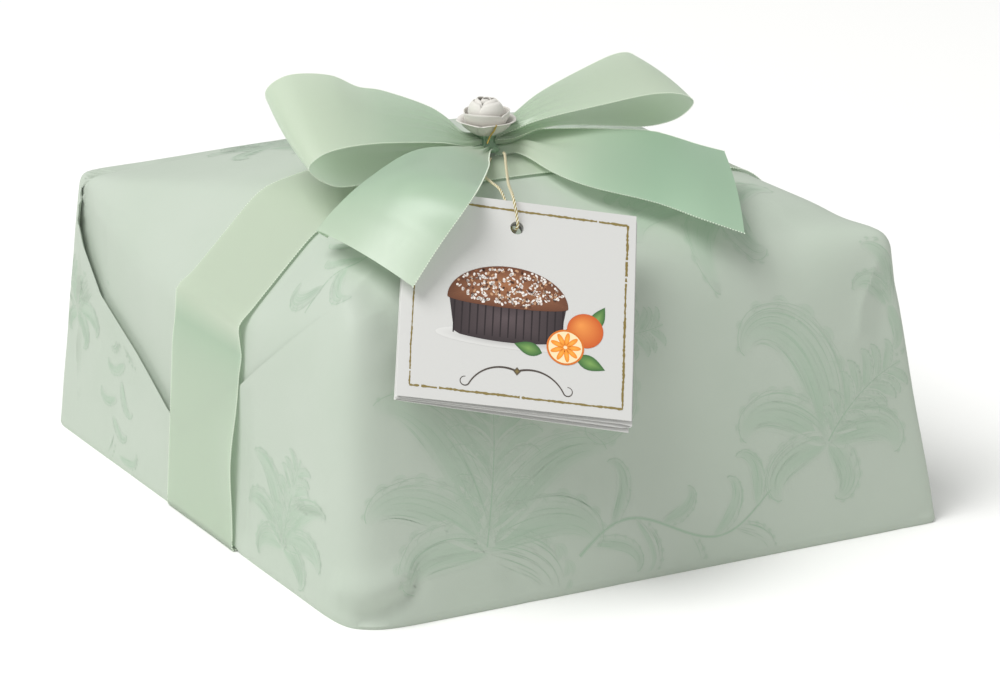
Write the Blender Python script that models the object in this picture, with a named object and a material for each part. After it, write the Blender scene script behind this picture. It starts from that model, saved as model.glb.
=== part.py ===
"""Gift-wrapped sweet bread: a soft paper pack with V-folded ends, tied once lengthwise with wide satin
ribbon. On top sit a bow and a small rose, and a folded gift tag hangs over the front on a thin cord.

Metres, +Z up, front towards -Y. The origin is the middle of the bounding box, on the ground. The sizes
below are measured from the near left corner of the footprint, and the last lines move all to the origin.
"""
import math

import bmesh
import bpy
import numpy as np
from mathutils import Vector

# Footprint of the pack
FRONT = 0.280
SIDE = 0.290
LEFT_SKEW = 0.030
RIGHT_SKEW = 0.012
HEART = np.array([0.128, 0.147, 0.0])
ORIGIN = (0.1254, 0.1340, 0.0)

# Heights and leans of the paper walls
CORNER_TOP = 0.129
DOME_RISE = 0.0232
FRONT_LEAN = 0.20
BACK_LEAN = 0.12
LEFT_LEAN = 0.070
RIGHT_LEAN = 0.112
LEFT_CHAMFER_FOOT = 0.096
RIGHT_CHAMFER_FOOT = 0.112
CHAMFER_SLOPE = 1.12

# Softness of the paper's edges, as blend lengths
SOFT_NEAR = 0.0085
SOFT_UPRIGHT = 0.0020
SOFT_TOP = 0.0018
SOFT_FRONT_TOP = 0.0180

# V-shaped fold of each end: the lower flap lies over the sheet that comes down from the top
FLAP_STEP = 0.0022
FLAP_EDGE = 0.0016
FOLD_FADE = 0.030
FOLD_BOTTOM = 0.020
V_FOOT = (0.155, 0.036)
V_BACK = (0.262, 0.096)
V_FRONT = (0.035, 0.126)
AT_LEFT = 0.045
AT_RIGHT = 0.235

# How finely the paper is divided: round the pack, and from the ground to the top
AROUND = 88
UP = 18
WALL_TOP = 0.118

# Satin ribbon, and its closed turn round the pack
RIBBON = 0.063
SATIN = 0.0007
BAND_LIFT = 0.0010
BAND_MIDDLE = 0.1355
CHANNEL_DEPTH = 0.0014
CHANNEL_SPARE = 0.0016
GAP = 0.0003

# Each length of the bow as pairs of points: one on its near edge and one on its far edge
LOOP_LEFT = [
    ((0.1105, 0.1270, 0.1555), (0.1120, 0.1395, 0.1570)),
    ((0.0960, 0.1220, 0.1545), (0.1010, 0.1520, 0.1590)),
    ((0.0710, 0.1150, 0.1535), (0.0790, 0.1640, 0.1610)),
    ((0.0450, 0.1080, 0.1545), (0.0540, 0.1680, 0.1640)),
    ((0.0335, 0.1060, 0.1590), (0.0380, 0.1670, 0.1740)),
    ((0.0280, 0.1060, 0.1650), (0.0330, 0.1660, 0.1840)),
    ((0.0330, 0.1040, 0.1705), (0.0430, 0.1640, 0.1905)),
    ((0.0440, 0.1060, 0.1720), (0.0620, 0.1640, 0.1885)),
    ((0.0585, 0.1095, 0.1712), (0.0760, 0.1655, 0.1815)),
    ((0.0730, 0.1140, 0.1690), (0.0890, 0.1660, 0.1780)),
    ((0.0960, 0.1220, 0.1645), (0.1080, 0.1540, 0.1705)),
    ((0.1110, 0.1275, 0.1605), (0.1130, 0.1395, 0.1630)),
]
LOOP_RIGHT = [
    ((0.1335, 0.1270, 0.1600), (0.1330, 0.1400, 0.1605)),
    ((0.1460, 0.1250, 0.1640), (0.1440, 0.1470, 0.1620)),
    ((0.1590, 0.1220, 0.1650), (0.1600, 0.1560, 0.1630)),
    ((0.1800, 0.1160, 0.1636), (0.1850, 0.1660, 0.1640)),
    ((0.1930, 0.1120, 0.1630), (0.2000, 0.1700, 0.1648)),
    ((0.2050, 0.1085, 0.1660), (0.2105, 0.1695, 0.1685)),
    ((0.2115, 0.1060, 0.1728), (0.2165, 0.1680, 0.1765)),
    ((0.2050, 0.1055, 0.1775), (0.2130, 0.1660, 0.1818)),
    ((0.1900, 0.1060, 0.1790), (0.2050, 0.1650, 0.1832)),
    ((0.1670, 0.1100, 0.1757), (0.1900, 0.1610, 0.1808)),
    ((0.1450, 0.1200, 0.1702), (0.1600, 0.1560, 0.1715)),
    ((0.1350, 0.1270, 0.1656), (0.1355, 0.1395, 0.1652)),
]
TAIL_LEFT = [
    ((0.1205, 0.1240, 0.1570), (0.1115, 0.1245, 0.1590)),
    ((0.1132, 0.1100, 0.1580), (0.0965, 0.1169, 0.1636)),
    ((0.1022, 0.0880, 0.1605), (0.0745, 0.1055, 0.1669)),
    ((0.0722, 0.0386, 0.1651), (0.0453, 0.0845, 0.1639)),
    ((0.0529, 0.0298, 0.1495), (0.0298, 0.0802, 0.1552)),
    ((0.0387, 0.0250, 0.1351), (0.0205, 0.0804, 0.1461)),
]
TAIL_RIGHT = [
    ((0.1325, 0.1255, 0.1568), (0.1350, 0.1400, 0.1560)),
    ((0.1345, 0.1170, 0.1562), (0.1455, 0.1420, 0.1582)),
    ((0.1360, 0.0940, 0.1535), (0.1600, 0.1290, 0.1612)),
    ((0.1420, 0.0710, 0.1520), (0.1745, 0.1130, 0.1633)),
    ((0.1620, 0.0500, 0.1480), (0.1910, 0.1040, 0.1625)),
    ((0.1740, 0.0330, 0.1440), (0.2040, 0.0870, 0.1592)),
    ((0.1900, 0.0230, 0.1380), (0.2120, 0.0790, 0.1573)),
]
LOOP_CROWN = 0.0015
LEFT_TAIL_CROWN = 0.0070
RIGHT_TAIL_CROWN = 0.0030

# Knot and rose, as radius and height pairs up their turned profiles
KNOT_PLACE = (0.1225, 0.1335, 0.1542)
KNOT = [(0.0, 0.0005), (0.0050, 0.0009), (0.0078, 0.0030), (0.0085, 0.0052), (0.0070, 0.0074),
        (0.0040, 0.0086), (0.0, 0.0088)]
ROSE_PLACE = (0.1226, 0.1325, 0.1635)
ROSE = [(0.0, 0.0), (0.0046, 0.0003), (0.0073, 0.0014), (0.0096, 0.0034), (0.0114, 0.0060),
        (0.0120, 0.0086), (0.0106, 0.0096), (0.0096, 0.0090), (0.0093, 0.0116), (0.0082, 0.0140),
        (0.0062, 0.0160), (0.0038, 0.0166), (0.0020, 0.0152), (0.0, 0.0146)]
ROSE_SEGMENTS = 30

# Thin tie wire in front of the knot
WIRE = [(0.1214, 0.1196, 0.1696), (0.1211, 0.1217, 0.1665), (0.1208, 0.1243, 0.1640),
        (0.1196, 0.1252, 0.1604)]
WIRE_RADIUS = 0.00045

# Folded gift tag: card leaves joined at alternate sides, with a punched hole
TAG_MIDDLE = (0.0821, 0.0170, 0.1241)
TAG_WIDTH = 0.0955
TAG_HEIGHT = 0.0892
TAG_YAW = -10.0
TAG_LEAN = 38.0
TAG_ROLL = -12.2
TAG_LEAVES = 4
LEAF_PITCH = 0.0014
CARD = 0.0005
LEAF_SLIP = 0.9
HOLE_RADIUS = 0.0028
HOLE_RIGHT = -0.0023
HOLE_UP = 0.0330

# Cord of the tag, from the knot through the hole and back to the knot
CORD_RADIUS = 0.0006
CORD_FRONT = [(0.1262, 0.1222, 0.1562), (0.1233, 0.1150, 0.1570), (0.1094, 0.0850, 0.1598),
              (0.0982, 0.0600, 0.1611)]
CORD_BACK = [(0.0948, 0.0606, 0.1588), (0.0969, 0.0743, 0.1588), (0.1018, 0.0900, 0.1566),
             (0.1106, 0.1080, 0.1546), (0.1195, 0.1215, 0.1545)]


def clear_scene():
    for item in list(bpy.data.objects):
        bpy.data.objects.remove(item, do_unlink=True)


def plain_material(name, colour, roughness, metallic=0.0):
    material = bpy.data.materials.new(name)
    material.use_nodes = True
    shader = material.node_tree.nodes["Principled BSDF"]
    shader.inputs["Base Color"].default_value = (*colour, 1.0)
    shader.inputs["Roughness"].default_value = roughness
    shader.inputs["Metallic"].default_value = metallic
    return material


def add_object(name, verts, faces, material):
    """A mesh object with its faces turned outwards."""
    mesh = bpy.data.meshes.new(name)
    mesh.from_pydata([tuple(v) for v in verts], [], faces)
    body = bmesh.new()
    body.from_mesh(mesh)
    bmesh.ops.recalc_face_normals(body, faces=body.faces)
    body.to_mesh(mesh)
    body.free()
    mesh.materials.append(material)
    item = bpy.data.objects.new(name, mesh)
    bpy.context.collection.objects.link(item)
    return item


def cut_away(item, cutter, name):
    """Takes a cutter's shape out of an object."""
    cutter.name = name
    cutter.hide_render = True
    cutter.display_type = "WIRE"
    cut = item.modifiers.new(name, "BOOLEAN")
    cut.operation = "DIFFERENCE"
    cut.object = cutter


def soft_max(values, blend):
    """The largest of several distances, with its corners rounded over the blend length."""
    top = np.maximum.reduce(values)
    return top + blend * np.log(sum(np.exp((v - top) / blend) for v in values))


def fade(value):
    return np.clip(value, 0.0, 1.0)


def across(y):
    """-1 at the front wall's top, +1 at the back wall's."""
    return (y - 0.150) / 0.128


def end_foot(y, right):
    """Where the foot of an end wall stands along X."""
    if right:
        return FRONT - RIGHT_SKEW * y / SIDE
    return -LEFT_SKEW * y / SIDE


def dome(x, y):
    """Height of the top sheet before its edges are rounded."""
    along = (x - 0.125) / 0.140
    fall = np.where(along < 0.0, 1.15, 0.80)
    return CORNER_TOP + DOME_RISE * (1.0 - across(y) ** 2) * (1.0 - fall * along ** 2)


def chamfer(inset, y, z, middle_foot):
    """Distance outside the sheet that slopes from an end wall up to the top."""
    foot = middle_foot + (CORNER_TOP + 0.002 - middle_foot) * np.abs(across(y)) ** 1.7
    return (z - foot - CHAMFER_SLOPE * inset) / math.hypot(1.0, CHAMFER_SLOPE)


def outside(p):
    """Signed distance of points outside the paper."""
    x, y, z = p[..., 0], p[..., 1], p[..., 2]
    left = end_foot(y, False) + LEFT_LEAN * z - x
    right = x - end_foot(y, True) + RIGHT_LEAN * z
    front = FRONT_LEAN * z - y
    back = y - SIDE + BACK_LEAN * z
    near = fade(1.0 - x / 0.09) * fade(1.0 - y / 0.09)
    walls = soft_max([left, right, front, back], SOFT_UPRIGHT + (SOFT_NEAR - SOFT_UPRIGHT) * near)
    middle = fade((0.265 - x) / 0.055)
    soft = SOFT_TOP + (SOFT_FRONT_TOP - SOFT_TOP) * fade(1.0 - y / 0.10) * middle
    tops = [z - dome(x, y), chamfer(-left, y, z, LEFT_CHAMFER_FOOT),
            chamfer(-right, y, z, RIGHT_CHAMFER_FOOT)]
    return soft_max([walls, soft_max(tops, SOFT_TOP)], soft)


def cast(origins, ways, reach=0.32):
    """Where rays that start inside leave the paper, by bisection."""
    near = np.zeros(origins.shape[:-1])
    far = np.full(origins.shape[:-1], reach)
    for _ in range(34):
        half = 0.5 * (near + far)
        out = outside(origins + ways * half[..., None]) > 0.0
        far = np.where(out, half, far)
        near = np.where(out, near, half)
    return origins + ways * far[..., None]


def perimeter(count):
    """Points round the footprint at even steps, starting at the near left corner."""
    corners = np.array([[0, 0], [FRONT, 0], [FRONT - RIGHT_SKEW, SIDE], [-LEFT_SKEW, SIDE]], float)
    sides = np.roll(corners, -1, axis=0) - corners
    lengths = np.linalg.norm(sides, axis=1)
    steps = np.round(count * lengths / lengths.sum()).astype(int)
    rows = [corner + side * (i / n) for corner, side, n in zip(corners, sides, steps) for i in range(n)]
    return np.array(rows)


def skin(count, rows):
    """The paper's surface as rings of points from the ground up, and the point on top."""
    foot = perimeter(count) - HEART[:2]
    rings = []
    for j in range(rows):
        climb = 2.0 * j / rows
        if climb < 1.0:
            start = HEART + np.array([0.0, 0.0, WALL_TOP * climb])
            way = np.column_stack([foot, np.zeros(len(foot))])
        else:
            start = HEART + np.array([0.0, 0.0, WALL_TOP - 0.03])
            rise = 0.03 + 0.03 * min(1.0, (climb - 1.0) * 3.0)
            way = np.column_stack([foot * 0.96 * (2.0 - climb), np.full(len(foot), rise)])
        way /= np.linalg.norm(way, axis=1)[:, None]
        rings.append(cast(np.broadcast_to(start, way.shape), way))
    apex = cast((HEART + np.array([0.0, 0.0, 0.1]))[None], np.array([[0.0, 0.0, 1.0]]))[0]
    return rings, apex


def line_side(y, z, start, end):
    """Signed distance from a line in the YZ plane, positive on the left of its direction."""
    run, rise = end[0] - start[0], end[1] - start[1]
    return ((z - start[1]) * run - (y - start[0]) * rise) / math.hypot(run, rise)


def fold_distance(y, z):
    """How far a point of an end wall lies inside the V-fold, above both of its lines."""
    return min(line_side(y, z, V_FOOT, V_BACK), -line_side(y, z, V_FOOT, V_FRONT))


def cut_fold_line(body, end, right, shift):
    """Cuts the end wall's faces along one line of the V, so that the step has clean edges."""
    run = Vector((0.0, end[0] - V_FOOT[0], end[1] - V_FOOT[1])).normalized()
    normal = Vector((0.0, -run.z, run.y))
    if end[0] < V_FOOT[0]:
        normal.negate()
    place = Vector((0.0, *V_FOOT)) + normal * shift
    middles = [(f, f.calc_center_median()) for f in body.faces]
    wall = [f for f, c in middles if c.z > FOLD_BOTTOM and (c.x > AT_RIGHT if right else c.x < AT_LEFT)]
    edges = list({e for f in wall for e in f.edges})
    verts = list({v for f in wall for v in f.verts})
    bmesh.ops.bisect_plane(body, geom=verts + edges + wall, plane_co=place, plane_no=normal, dist=0.00002)


def press_folds(item):
    """Presses the sheet inside each V back behind the flap that lies over it."""
    body = bmesh.new()
    body.from_mesh(item.data)
    for right in (False, True):
        for end in (V_BACK, V_FRONT):
            for shift in (0.0, FLAP_EDGE):
                cut_fold_line(body, end, right, shift)
    for v in body.verts:
        inside = fold_distance(v.co.y, v.co.z)
        depth = FLAP_STEP * max(0.0, 1.0 - inside / FOLD_FADE)
        if inside > FLAP_EDGE / 2 and v.co.z > FOLD_BOTTOM and v.co.x < AT_LEFT:
            v.co.x += depth
        elif inside > FLAP_EDGE / 2 and v.co.z > FOLD_BOTTOM and v.co.x > AT_RIGHT:
            v.co.x -= depth
    bmesh.ops.triangulate(body, faces=body.faces)
    body.to_mesh(item.data)
    body.free()


def add_wrap(material):
    rings, apex = skin(AROUND, UP)
    count = len(rings[0])
    verts = [p for ring in rings for p in ring] + [apex]
    faces = [tuple(range(count))]
    for j in range(UP - 1):
        for i in range(count):
            k = (i + 1) % count
            faces.append((j * count + i, j * count + k, (j + 1) * count + k, (j + 1) * count + i))
    last = (UP - 1) * count
    faces += [(last + i, last + (i + 1) % count, UP * count) for i in range(count)]
    item = add_object("wrap", verts, faces, material)
    press_folds(item)
    bpy.ops.mesh.primitive_cube_add(size=1.0, location=(HEART[0], BAND_MIDDLE, 0.0))
    bpy.context.object.scale = (2.0 * FRONT, RIBBON + CHANNEL_SPARE, 2.0 * CHANNEL_DEPTH)
    cut_away(item, bpy.context.object, "ribbon_channel")


def outward(loop):
    """Outward normals along an XZ line that runs up the left end and down the right."""
    ahead = np.gradient(loop, axis=0)
    ahead /= np.linalg.norm(ahead, axis=1)[:, None]
    return np.column_stack([-ahead[:, 1], ahead[:, 0]])


def band_path(y):
    """The ribbon's inner face over the pack, at one place across its width, as X and Z."""
    levels = np.linspace(0.004, 0.088, 9)
    starts = np.column_stack([np.full(9, HEART[0]), np.full(9, y), levels])
    left = cast(starts, np.tile([-1.0, 0.0, 0.0], (9, 1)))
    right = cast(starts, np.tile([1.0, 0.0, 0.0], (9, 1)))[::-1]
    aims = np.linspace(-0.136, 0.140, 46)
    rises = 0.036 + 0.050 * np.minimum(1.0, (0.140 - np.abs(aims)) / 0.060)
    ways = np.column_stack([aims, np.zeros(len(aims)), rises])
    ways /= np.linalg.norm(ways, axis=1)[:, None]
    over = cast(np.tile([HEART[0], y, 0.060], (len(aims), 1)), ways)
    wall = np.vstack([left, over, right])[:, [0, 2]]
    return wall + BAND_LIFT * outward(wall)


def add_band(material):
    """The ribbon's closed turn round the pack, as a flat strip through the channel under it."""
    under = CHANNEL_DEPTH - GAP
    rows = []
    for y in np.linspace(BAND_MIDDLE - RIBBON / 2, BAND_MIDDLE + RIBBON / 2, 4):
        path = band_path(y)
        shell = path + SATIN * outward(path)
        for line, level in ((path, under), (shell, under - SATIN)):
            ends = (line[0][0], line[-1][0])
            floor = [(ends[1] + (ends[0] - ends[1]) * s, level) for s in (0.0, 0.25, 0.5, 0.75, 1.0)]
            rows.append([(x, y, z) for x, z in np.vstack([line, floor])])
    count = len(rows[0])
    verts = [p for row in rows for p in row]
    faces = []
    for i in range(count):
        k = (i + 1) % count
        for j in range(0, len(rows) - 2, 2):
            a, b, c, d = (n * count for n in range(j, j + 4))
            faces += [(a + i, a + k, c + k, c + i), (b + i, d + i, d + k, b + k)]
        end = (len(rows) - 2) * count
        faces += [(i, count + i, count + k, k), (end + i, end + k, end + count + k, end + count + i)]
    return add_object("ribbon_band", verts, faces, material)


def smooth_through(points, steps):
    """Catmull-Rom curve through the points, with the same number of steps in each span."""
    points = np.asarray(points, float)
    ends = np.concatenate([[2 * points[0] - points[1]], points, [2 * points[-1] - points[-2]]])
    rows = []
    for a, b, c, d in zip(ends, ends[1:], ends[2:], ends[3:]):
        for t in np.arange(steps) / steps:
            rows.append(0.5 * (2 * b + (c - a) * t + (2 * a - 5 * b + 4 * c - d) * t ** 2
                               + (3 * b - a - 3 * c + d) * t ** 3))
    rows.append(points[-1])
    return np.array(rows)


def add_satin_strip(name, sections, steps, crown, material):
    """A length of ribbon between two edge curves, its middle raised by the crown."""
    near = smooth_through([s[0] for s in sections], steps)
    far = smooth_through([s[1] for s in sections], steps)
    shares = np.linspace(0.0, 1.0, 4)
    grid = near[:, None] * (1.0 - shares)[None, :, None] + far[:, None] * shares[None, :, None]
    normal = np.cross(np.gradient(grid, axis=1), np.gradient(grid, axis=0))
    normal /= np.linalg.norm(normal, axis=2)[..., None]
    width = np.linalg.norm(far - near, axis=1) / RIBBON
    grid = grid + normal * (crown * width[:, None] * 4.0 * shares * (1.0 - shares))[..., None]
    count, wide = grid.shape[:2]
    verts = np.concatenate([(grid + normal * side).reshape(-1, 3) for side in (-SATIN / 2, SATIN / 2)])
    other = count * wide
    rim = [i * wide for i in range(count)] + [other - wide + j for j in range(1, wide)]
    rim += [i * wide + wide - 1 for i in reversed(range(count - 1))] + list(range(wide - 2, 0, -1))
    faces = [(a, b, other + b, other + a) for a, b in zip(rim, rim[1:] + rim[:1])]
    for i in range(count - 1):
        for j in range(wide - 1):
            a, b = i * wide + j, (i + 1) * wide + j
            faces += [(a, a + 1, b + 1, b), (other + a, other + b, other + b + 1, other + a + 1)]
    return add_object(name, verts, faces, material)


def add_turned(name, place, profile, segments, shape, material):
    """A closed turned body whose rings a shape function presses in and out."""
    rings = profile[1:-1]
    verts = []
    for row, (radius, height) in enumerate(rings):
        for i in range(segments):
            angle = 2.0 * math.pi * i / segments
            r, h = shape(row / (len(rings) - 1), angle, radius, height)
            verts.append((place[0] + r * math.cos(angle), place[1] + r * math.sin(angle), place[2] + h))
    verts += [(place[0], place[1], place[2] + profile[end][1]) for end in (0, -1)]
    bottom = len(rings) * segments
    last = bottom - segments
    faces = []
    for i in range(segments):
        k = (i + 1) % segments
        for j in range(0, last, segments):
            faces.append((j + i, j + k, j + segments + k, j + segments + i))
        faces += [(bottom, k, i), (bottom + 1, last + i, last + k)]
    return add_object(name, verts, faces, material)


def petals(share, angle, radius, height):
    """Five outer petals round the rose's rim, and three in its heart."""
    lobes = 5 if share < 0.62 else 3
    swell = 0.5 + 0.5 * math.cos(lobes * angle + 2.2 * share)
    lift = 0.0010 * swell if 0.25 < share < 0.9 else 0.0
    return radius * (0.87 + 0.13 * swell), height + lift


def pleats(share, angle, radius, height):
    """The gathered satin of the knot."""
    return radius * (1.0 + 0.05 * math.cos(8 * angle + 3.0 * share)), height


def tag_frame():
    """Unit vectors of the tag: along its lower edge, up it, and out of its face."""
    yaw, lean, roll = (math.radians(a) for a in (TAG_YAW, TAG_LEAN, TAG_ROLL))
    level = np.array([math.cos(yaw), math.sin(yaw), 0.0])
    out = np.array([math.sin(yaw) * math.cos(lean), -math.cos(yaw) * math.cos(lean), math.sin(lean)])
    rise = np.cross(out, level)
    right = math.cos(roll) * level + math.sin(roll) * rise
    up = -math.sin(roll) * level + math.cos(roll) * rise
    return right, up, out


def on_tag(right_by, up_by, out_by):
    right, up, out = tag_frame()
    return np.array(TAG_MIDDLE) + right * right_by + up * up_by + out * out_by


def folded_card():
    """The tag's card seen from above, as sideways and outward pairs round its zigzag."""
    half = TAG_WIDTH / 2
    first, second = [(half, 0.0)], [(half, -CARD)]
    for leaf in range(TAG_LEAVES - 1):
        face, following = -leaf * LEAF_PITCH, -(leaf + 1) * LEAF_PITCH
        side = -half if leaf % 2 == 0 else half
        outer, inner = (first, second) if leaf % 2 == 0 else (second, first)
        outer += [(side, face), (side, following - CARD)]
        inset = side + CARD if leaf % 2 == 0 else side - CARD
        inner += [(inset, face - CARD), (inset, following)]
    last = -(TAG_LEAVES - 1) * LEAF_PITCH
    return first + [(half, last - CARD), (half, last)] + second[::-1]


def add_tag(material):
    outline = folded_card()
    count = len(outline)
    verts = [on_tag(r, up_by + LEAF_SLIP * o, o) for up_by in (-TAG_HEIGHT / 2, TAG_HEIGHT / 2)
             for r, o in outline]
    faces = [tuple(range(count)), tuple(range(count, 2 * count))]
    faces += [(i, (i + 1) % count, count + (i + 1) % count, count + i) for i in range(count)]
    tag = add_object("gift_tag", verts, faces, material)
    depth = TAG_LEAVES * LEAF_PITCH
    place = on_tag(HOLE_RIGHT, HOLE_UP, -depth / 2)
    turn = Vector(tag_frame()[2]).to_track_quat("Z", "Y").to_euler()
    bpy.ops.mesh.primitive_cylinder_add(vertices=16, radius=HOLE_RADIUS, depth=4.0 * depth,
                                        location=place, rotation=turn)
    cut_away(tag, bpy.context.object, "tag_punch")


def add_round_line(name, points, radius, steps, material):
    """A round wire or cord along a smooth curve through its route points."""
    path = smooth_through(points, steps)
    curve = bpy.data.curves.new(name, "CURVE")
    curve.dimensions = "3D"
    curve.bevel_depth = radius
    curve.bevel_resolution = 2
    curve.use_fill_caps = True
    spline = curve.splines.new("POLY")
    spline.points.add(len(path) - 1)
    for point, place in zip(spline.points, path):
        point.co = (*place, 1.0)
    curve.materials.append(material)
    item = bpy.data.objects.new(name, curve)
    bpy.context.collection.objects.link(item)
    return item


def cord_route():
    """The cord's points: over the tag's top edge, in at the hole, and up behind it."""
    stack = TAG_LEAVES * LEAF_PITCH
    over_edge = on_tag(HOLE_RIGHT - 0.0026, TAG_HEIGHT / 2 + 0.0010, 0.0022)
    before_hole = on_tag(HOLE_RIGHT - 0.0006, HOLE_UP + 0.0040, 0.0020)
    in_hole = [on_tag(HOLE_RIGHT, HOLE_UP + 0.0004, 0.0010), on_tag(HOLE_RIGHT, HOLE_UP, -stack / 2),
               on_tag(HOLE_RIGHT, HOLE_UP + 0.0006, -stack - 0.0006)]
    behind = [on_tag(HOLE_RIGHT - 0.0010, HOLE_UP + 0.0050, -stack - 0.0024),
              on_tag(HOLE_RIGHT - 0.0018, TAG_HEIGHT / 2 - 0.0010, -stack - 0.0030)]
    return CORD_FRONT + [over_edge, before_hole] + in_hole + behind + CORD_BACK


clear_scene()
paper = plain_material("printed_paper", (0.55, 0.68, 0.56), 0.62)
satin = plain_material("green_satin", (0.52, 0.74, 0.55), 0.34)
petal = plain_material("white_petals", (0.90, 0.89, 0.84), 0.55)
card = plain_material("printed_card", (0.86, 0.86, 0.84), 0.50)
thread = plain_material("gold_and_white_thread", (0.78, 0.70, 0.48), 0.60)
gold = plain_material("gold_wire", (0.80, 0.62, 0.30), 0.30, 1.0)

add_wrap(paper)
add_band(satin)
add_satin_strip("bow_loop_left", LOOP_LEFT, 3, -LOOP_CROWN, satin)
add_satin_strip("bow_loop_right", LOOP_RIGHT, 3, LOOP_CROWN, satin)
add_satin_strip("bow_tail_left", TAIL_LEFT, 4, LEFT_TAIL_CROWN, satin)
add_satin_strip("bow_tail_right", TAIL_RIGHT, 3, -RIGHT_TAIL_CROWN, satin)
add_turned("bow_knot", KNOT_PLACE, KNOT, 24, pleats, satin)
add_turned("rose", ROSE_PLACE, ROSE, ROSE_SEGMENTS, petals, petal)
add_round_line("tie_wire", WIRE, WIRE_RADIUS, 4, gold)
add_tag(card)
add_round_line("tag_cord", cord_route(), CORD_RADIUS, 4, thread)
for piece in bpy.data.objects:
    piece.location -= Vector(ORIGIN)
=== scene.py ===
"""Looks of a gift-wrapped sweet bread: printed paper with V-folded ends, a wide satin ribbon with its bow, a
fabric rose, a folded gift tag on a twisted cord, and the studio round them.

Metres, +Z up, front towards -Y. Places are measured from the near left corner of the pack's footprint, in
millimetres where a list of points says so, and each piece is moved to the shared origin when it is made.
"""
import math
import random

import bmesh
import bpy
import numpy as np
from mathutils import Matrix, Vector


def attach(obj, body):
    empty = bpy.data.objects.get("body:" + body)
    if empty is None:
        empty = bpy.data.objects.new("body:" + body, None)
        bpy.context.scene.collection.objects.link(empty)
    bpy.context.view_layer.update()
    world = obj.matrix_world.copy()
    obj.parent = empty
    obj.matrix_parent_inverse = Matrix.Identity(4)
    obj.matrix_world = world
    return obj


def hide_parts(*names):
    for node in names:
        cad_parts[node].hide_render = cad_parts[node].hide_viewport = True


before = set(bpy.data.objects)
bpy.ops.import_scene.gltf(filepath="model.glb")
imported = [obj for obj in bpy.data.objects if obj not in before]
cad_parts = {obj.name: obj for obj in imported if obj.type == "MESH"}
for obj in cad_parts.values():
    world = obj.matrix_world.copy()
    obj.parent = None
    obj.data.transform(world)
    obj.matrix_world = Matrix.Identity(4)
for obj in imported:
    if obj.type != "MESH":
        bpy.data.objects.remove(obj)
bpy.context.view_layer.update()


def add_object(name, data):
    """A new object in the scene, at the shared origin."""
    made = bpy.data.objects.new(name, data)
    bpy.context.scene.collection.objects.link(made)
    return made


# The camera stands before the pack's near left corner, somewhat above it. A long lens keeps the upright
# edges almost parallel, as a product photographer has it.
lens = bpy.data.cameras.new("product_camera")
lens.lens = 108.0
lens.sensor_width = 36.0
camera = add_object("product_camera", lens)
camera.location = (-0.55306, -1.14841, 0.50104)
camera.rotation_euler = (math.radians(71.0), 0.0, math.radians(-25.907))
bpy.context.scene.camera = camera

# The tag hangs on a thin twisted cord of white and gold yarns, 1.2 mm thick. It comes down from under the
# knot, goes in at the tag's punched hole, and runs back up behind the tag to the knot.
PACK_ORIGIN = np.array([0.1254, 0.1340, 0.0])
TAG_MIDDLE = np.array([0.0821, 0.0170, 0.1241])
TAG_HEIGHT = 0.0892
TAG_WIDTH = 0.0955
TAG_YAW, TAG_LEAN, TAG_ROLL = math.radians(-10.0), math.radians(38.0), math.radians(-12.2)
TAG_STACK = 0.0056
HOLE_RIGHT, HOLE_UP, HOLE_RADIUS = -0.0023, 0.0330, 0.0028
CORD_THICK = 0.0012
TWIST_PITCH = 0.0038

tag_level = np.array([math.cos(TAG_YAW), math.sin(TAG_YAW), 0.0])
tag_out = np.array([math.sin(TAG_YAW) * math.cos(TAG_LEAN), -math.cos(TAG_YAW) * math.cos(TAG_LEAN),
                    math.sin(TAG_LEAN)])
tag_rise = np.cross(tag_out, tag_level)
tag_right = math.cos(TAG_ROLL) * tag_level + math.sin(TAG_ROLL) * tag_rise
tag_up = math.cos(TAG_ROLL) * tag_rise - math.sin(TAG_ROLL) * tag_level


def on_tag(right, up, out):
    """A place on the tag, from its middle: along its lower edge, up it, and out of its face."""
    return TAG_MIDDLE + tag_right * right + tag_up * up + tag_out * out


def smooth_through(points, steps):
    """Catmull-Rom curve through the points, with the same number of steps in each span."""
    points = np.asarray(points, float)
    ends = np.concatenate([[2 * points[0] - points[1]], points, [2 * points[-1] - points[-2]]])
    rows = []
    for a, b, c, d in zip(ends, ends[1:], ends[2:], ends[3:]):
        for t in np.arange(steps) / steps:
            rows.append(0.5 * (2 * b + (c - a) * t + (2 * a - 5 * b + 4 * c - d) * t ** 2
                               + (3 * b - a - 3 * c + d) * t ** 3))
    rows.append(points[-1])
    return np.array(rows)


def linear(hex_colour):
    """An sRGB hex colour as the linear RGBA that shaders take."""
    parts = [int(hex_colour[i:i + 2], 16) / 255.0 for i in (1, 3, 5)]
    return tuple(v / 12.92 if v <= 0.04045 else ((v + 0.055) / 1.055) ** 2.4 for v in parts) + (1.0,)


def add_node(tree, kind, **given):
    """Adds a node. Lower-case names are its settings; the others, and s0, s1 and so on, are its sockets.

    A socket that is given a node, or one of a node's outputs, is linked to it.
    """
    made = tree.nodes.new(kind)
    for name, value in given.items():
        if name.islower() and not name[-1].isdigit():
            setattr(made, name, value)
            continue
        socket = made.inputs[int(name[1:]) if name[-1].isdigit() else name.replace("_", " ")]
        if isinstance(value, bpy.types.Node):
            value = value.outputs[0]
        if isinstance(value, bpy.types.NodeSocket):
            tree.links.new(value, socket)
        else:
            socket.default_value = value
    return made


def finish(name, colour, roughness, **sockets):
    """A material on the Principled shader, with the values that are the same all over set on its sockets."""
    made = bpy.data.materials.new(name)
    made.use_nodes = True
    shader = made.node_tree.nodes["Principled BSDF"]
    for socket, value in {"Base_Color": linear(colour), "Roughness": roughness, **sockets}.items():
        shader.inputs[socket.replace("_", " ")].default_value = value
    return made, made.node_tree, shader


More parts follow.
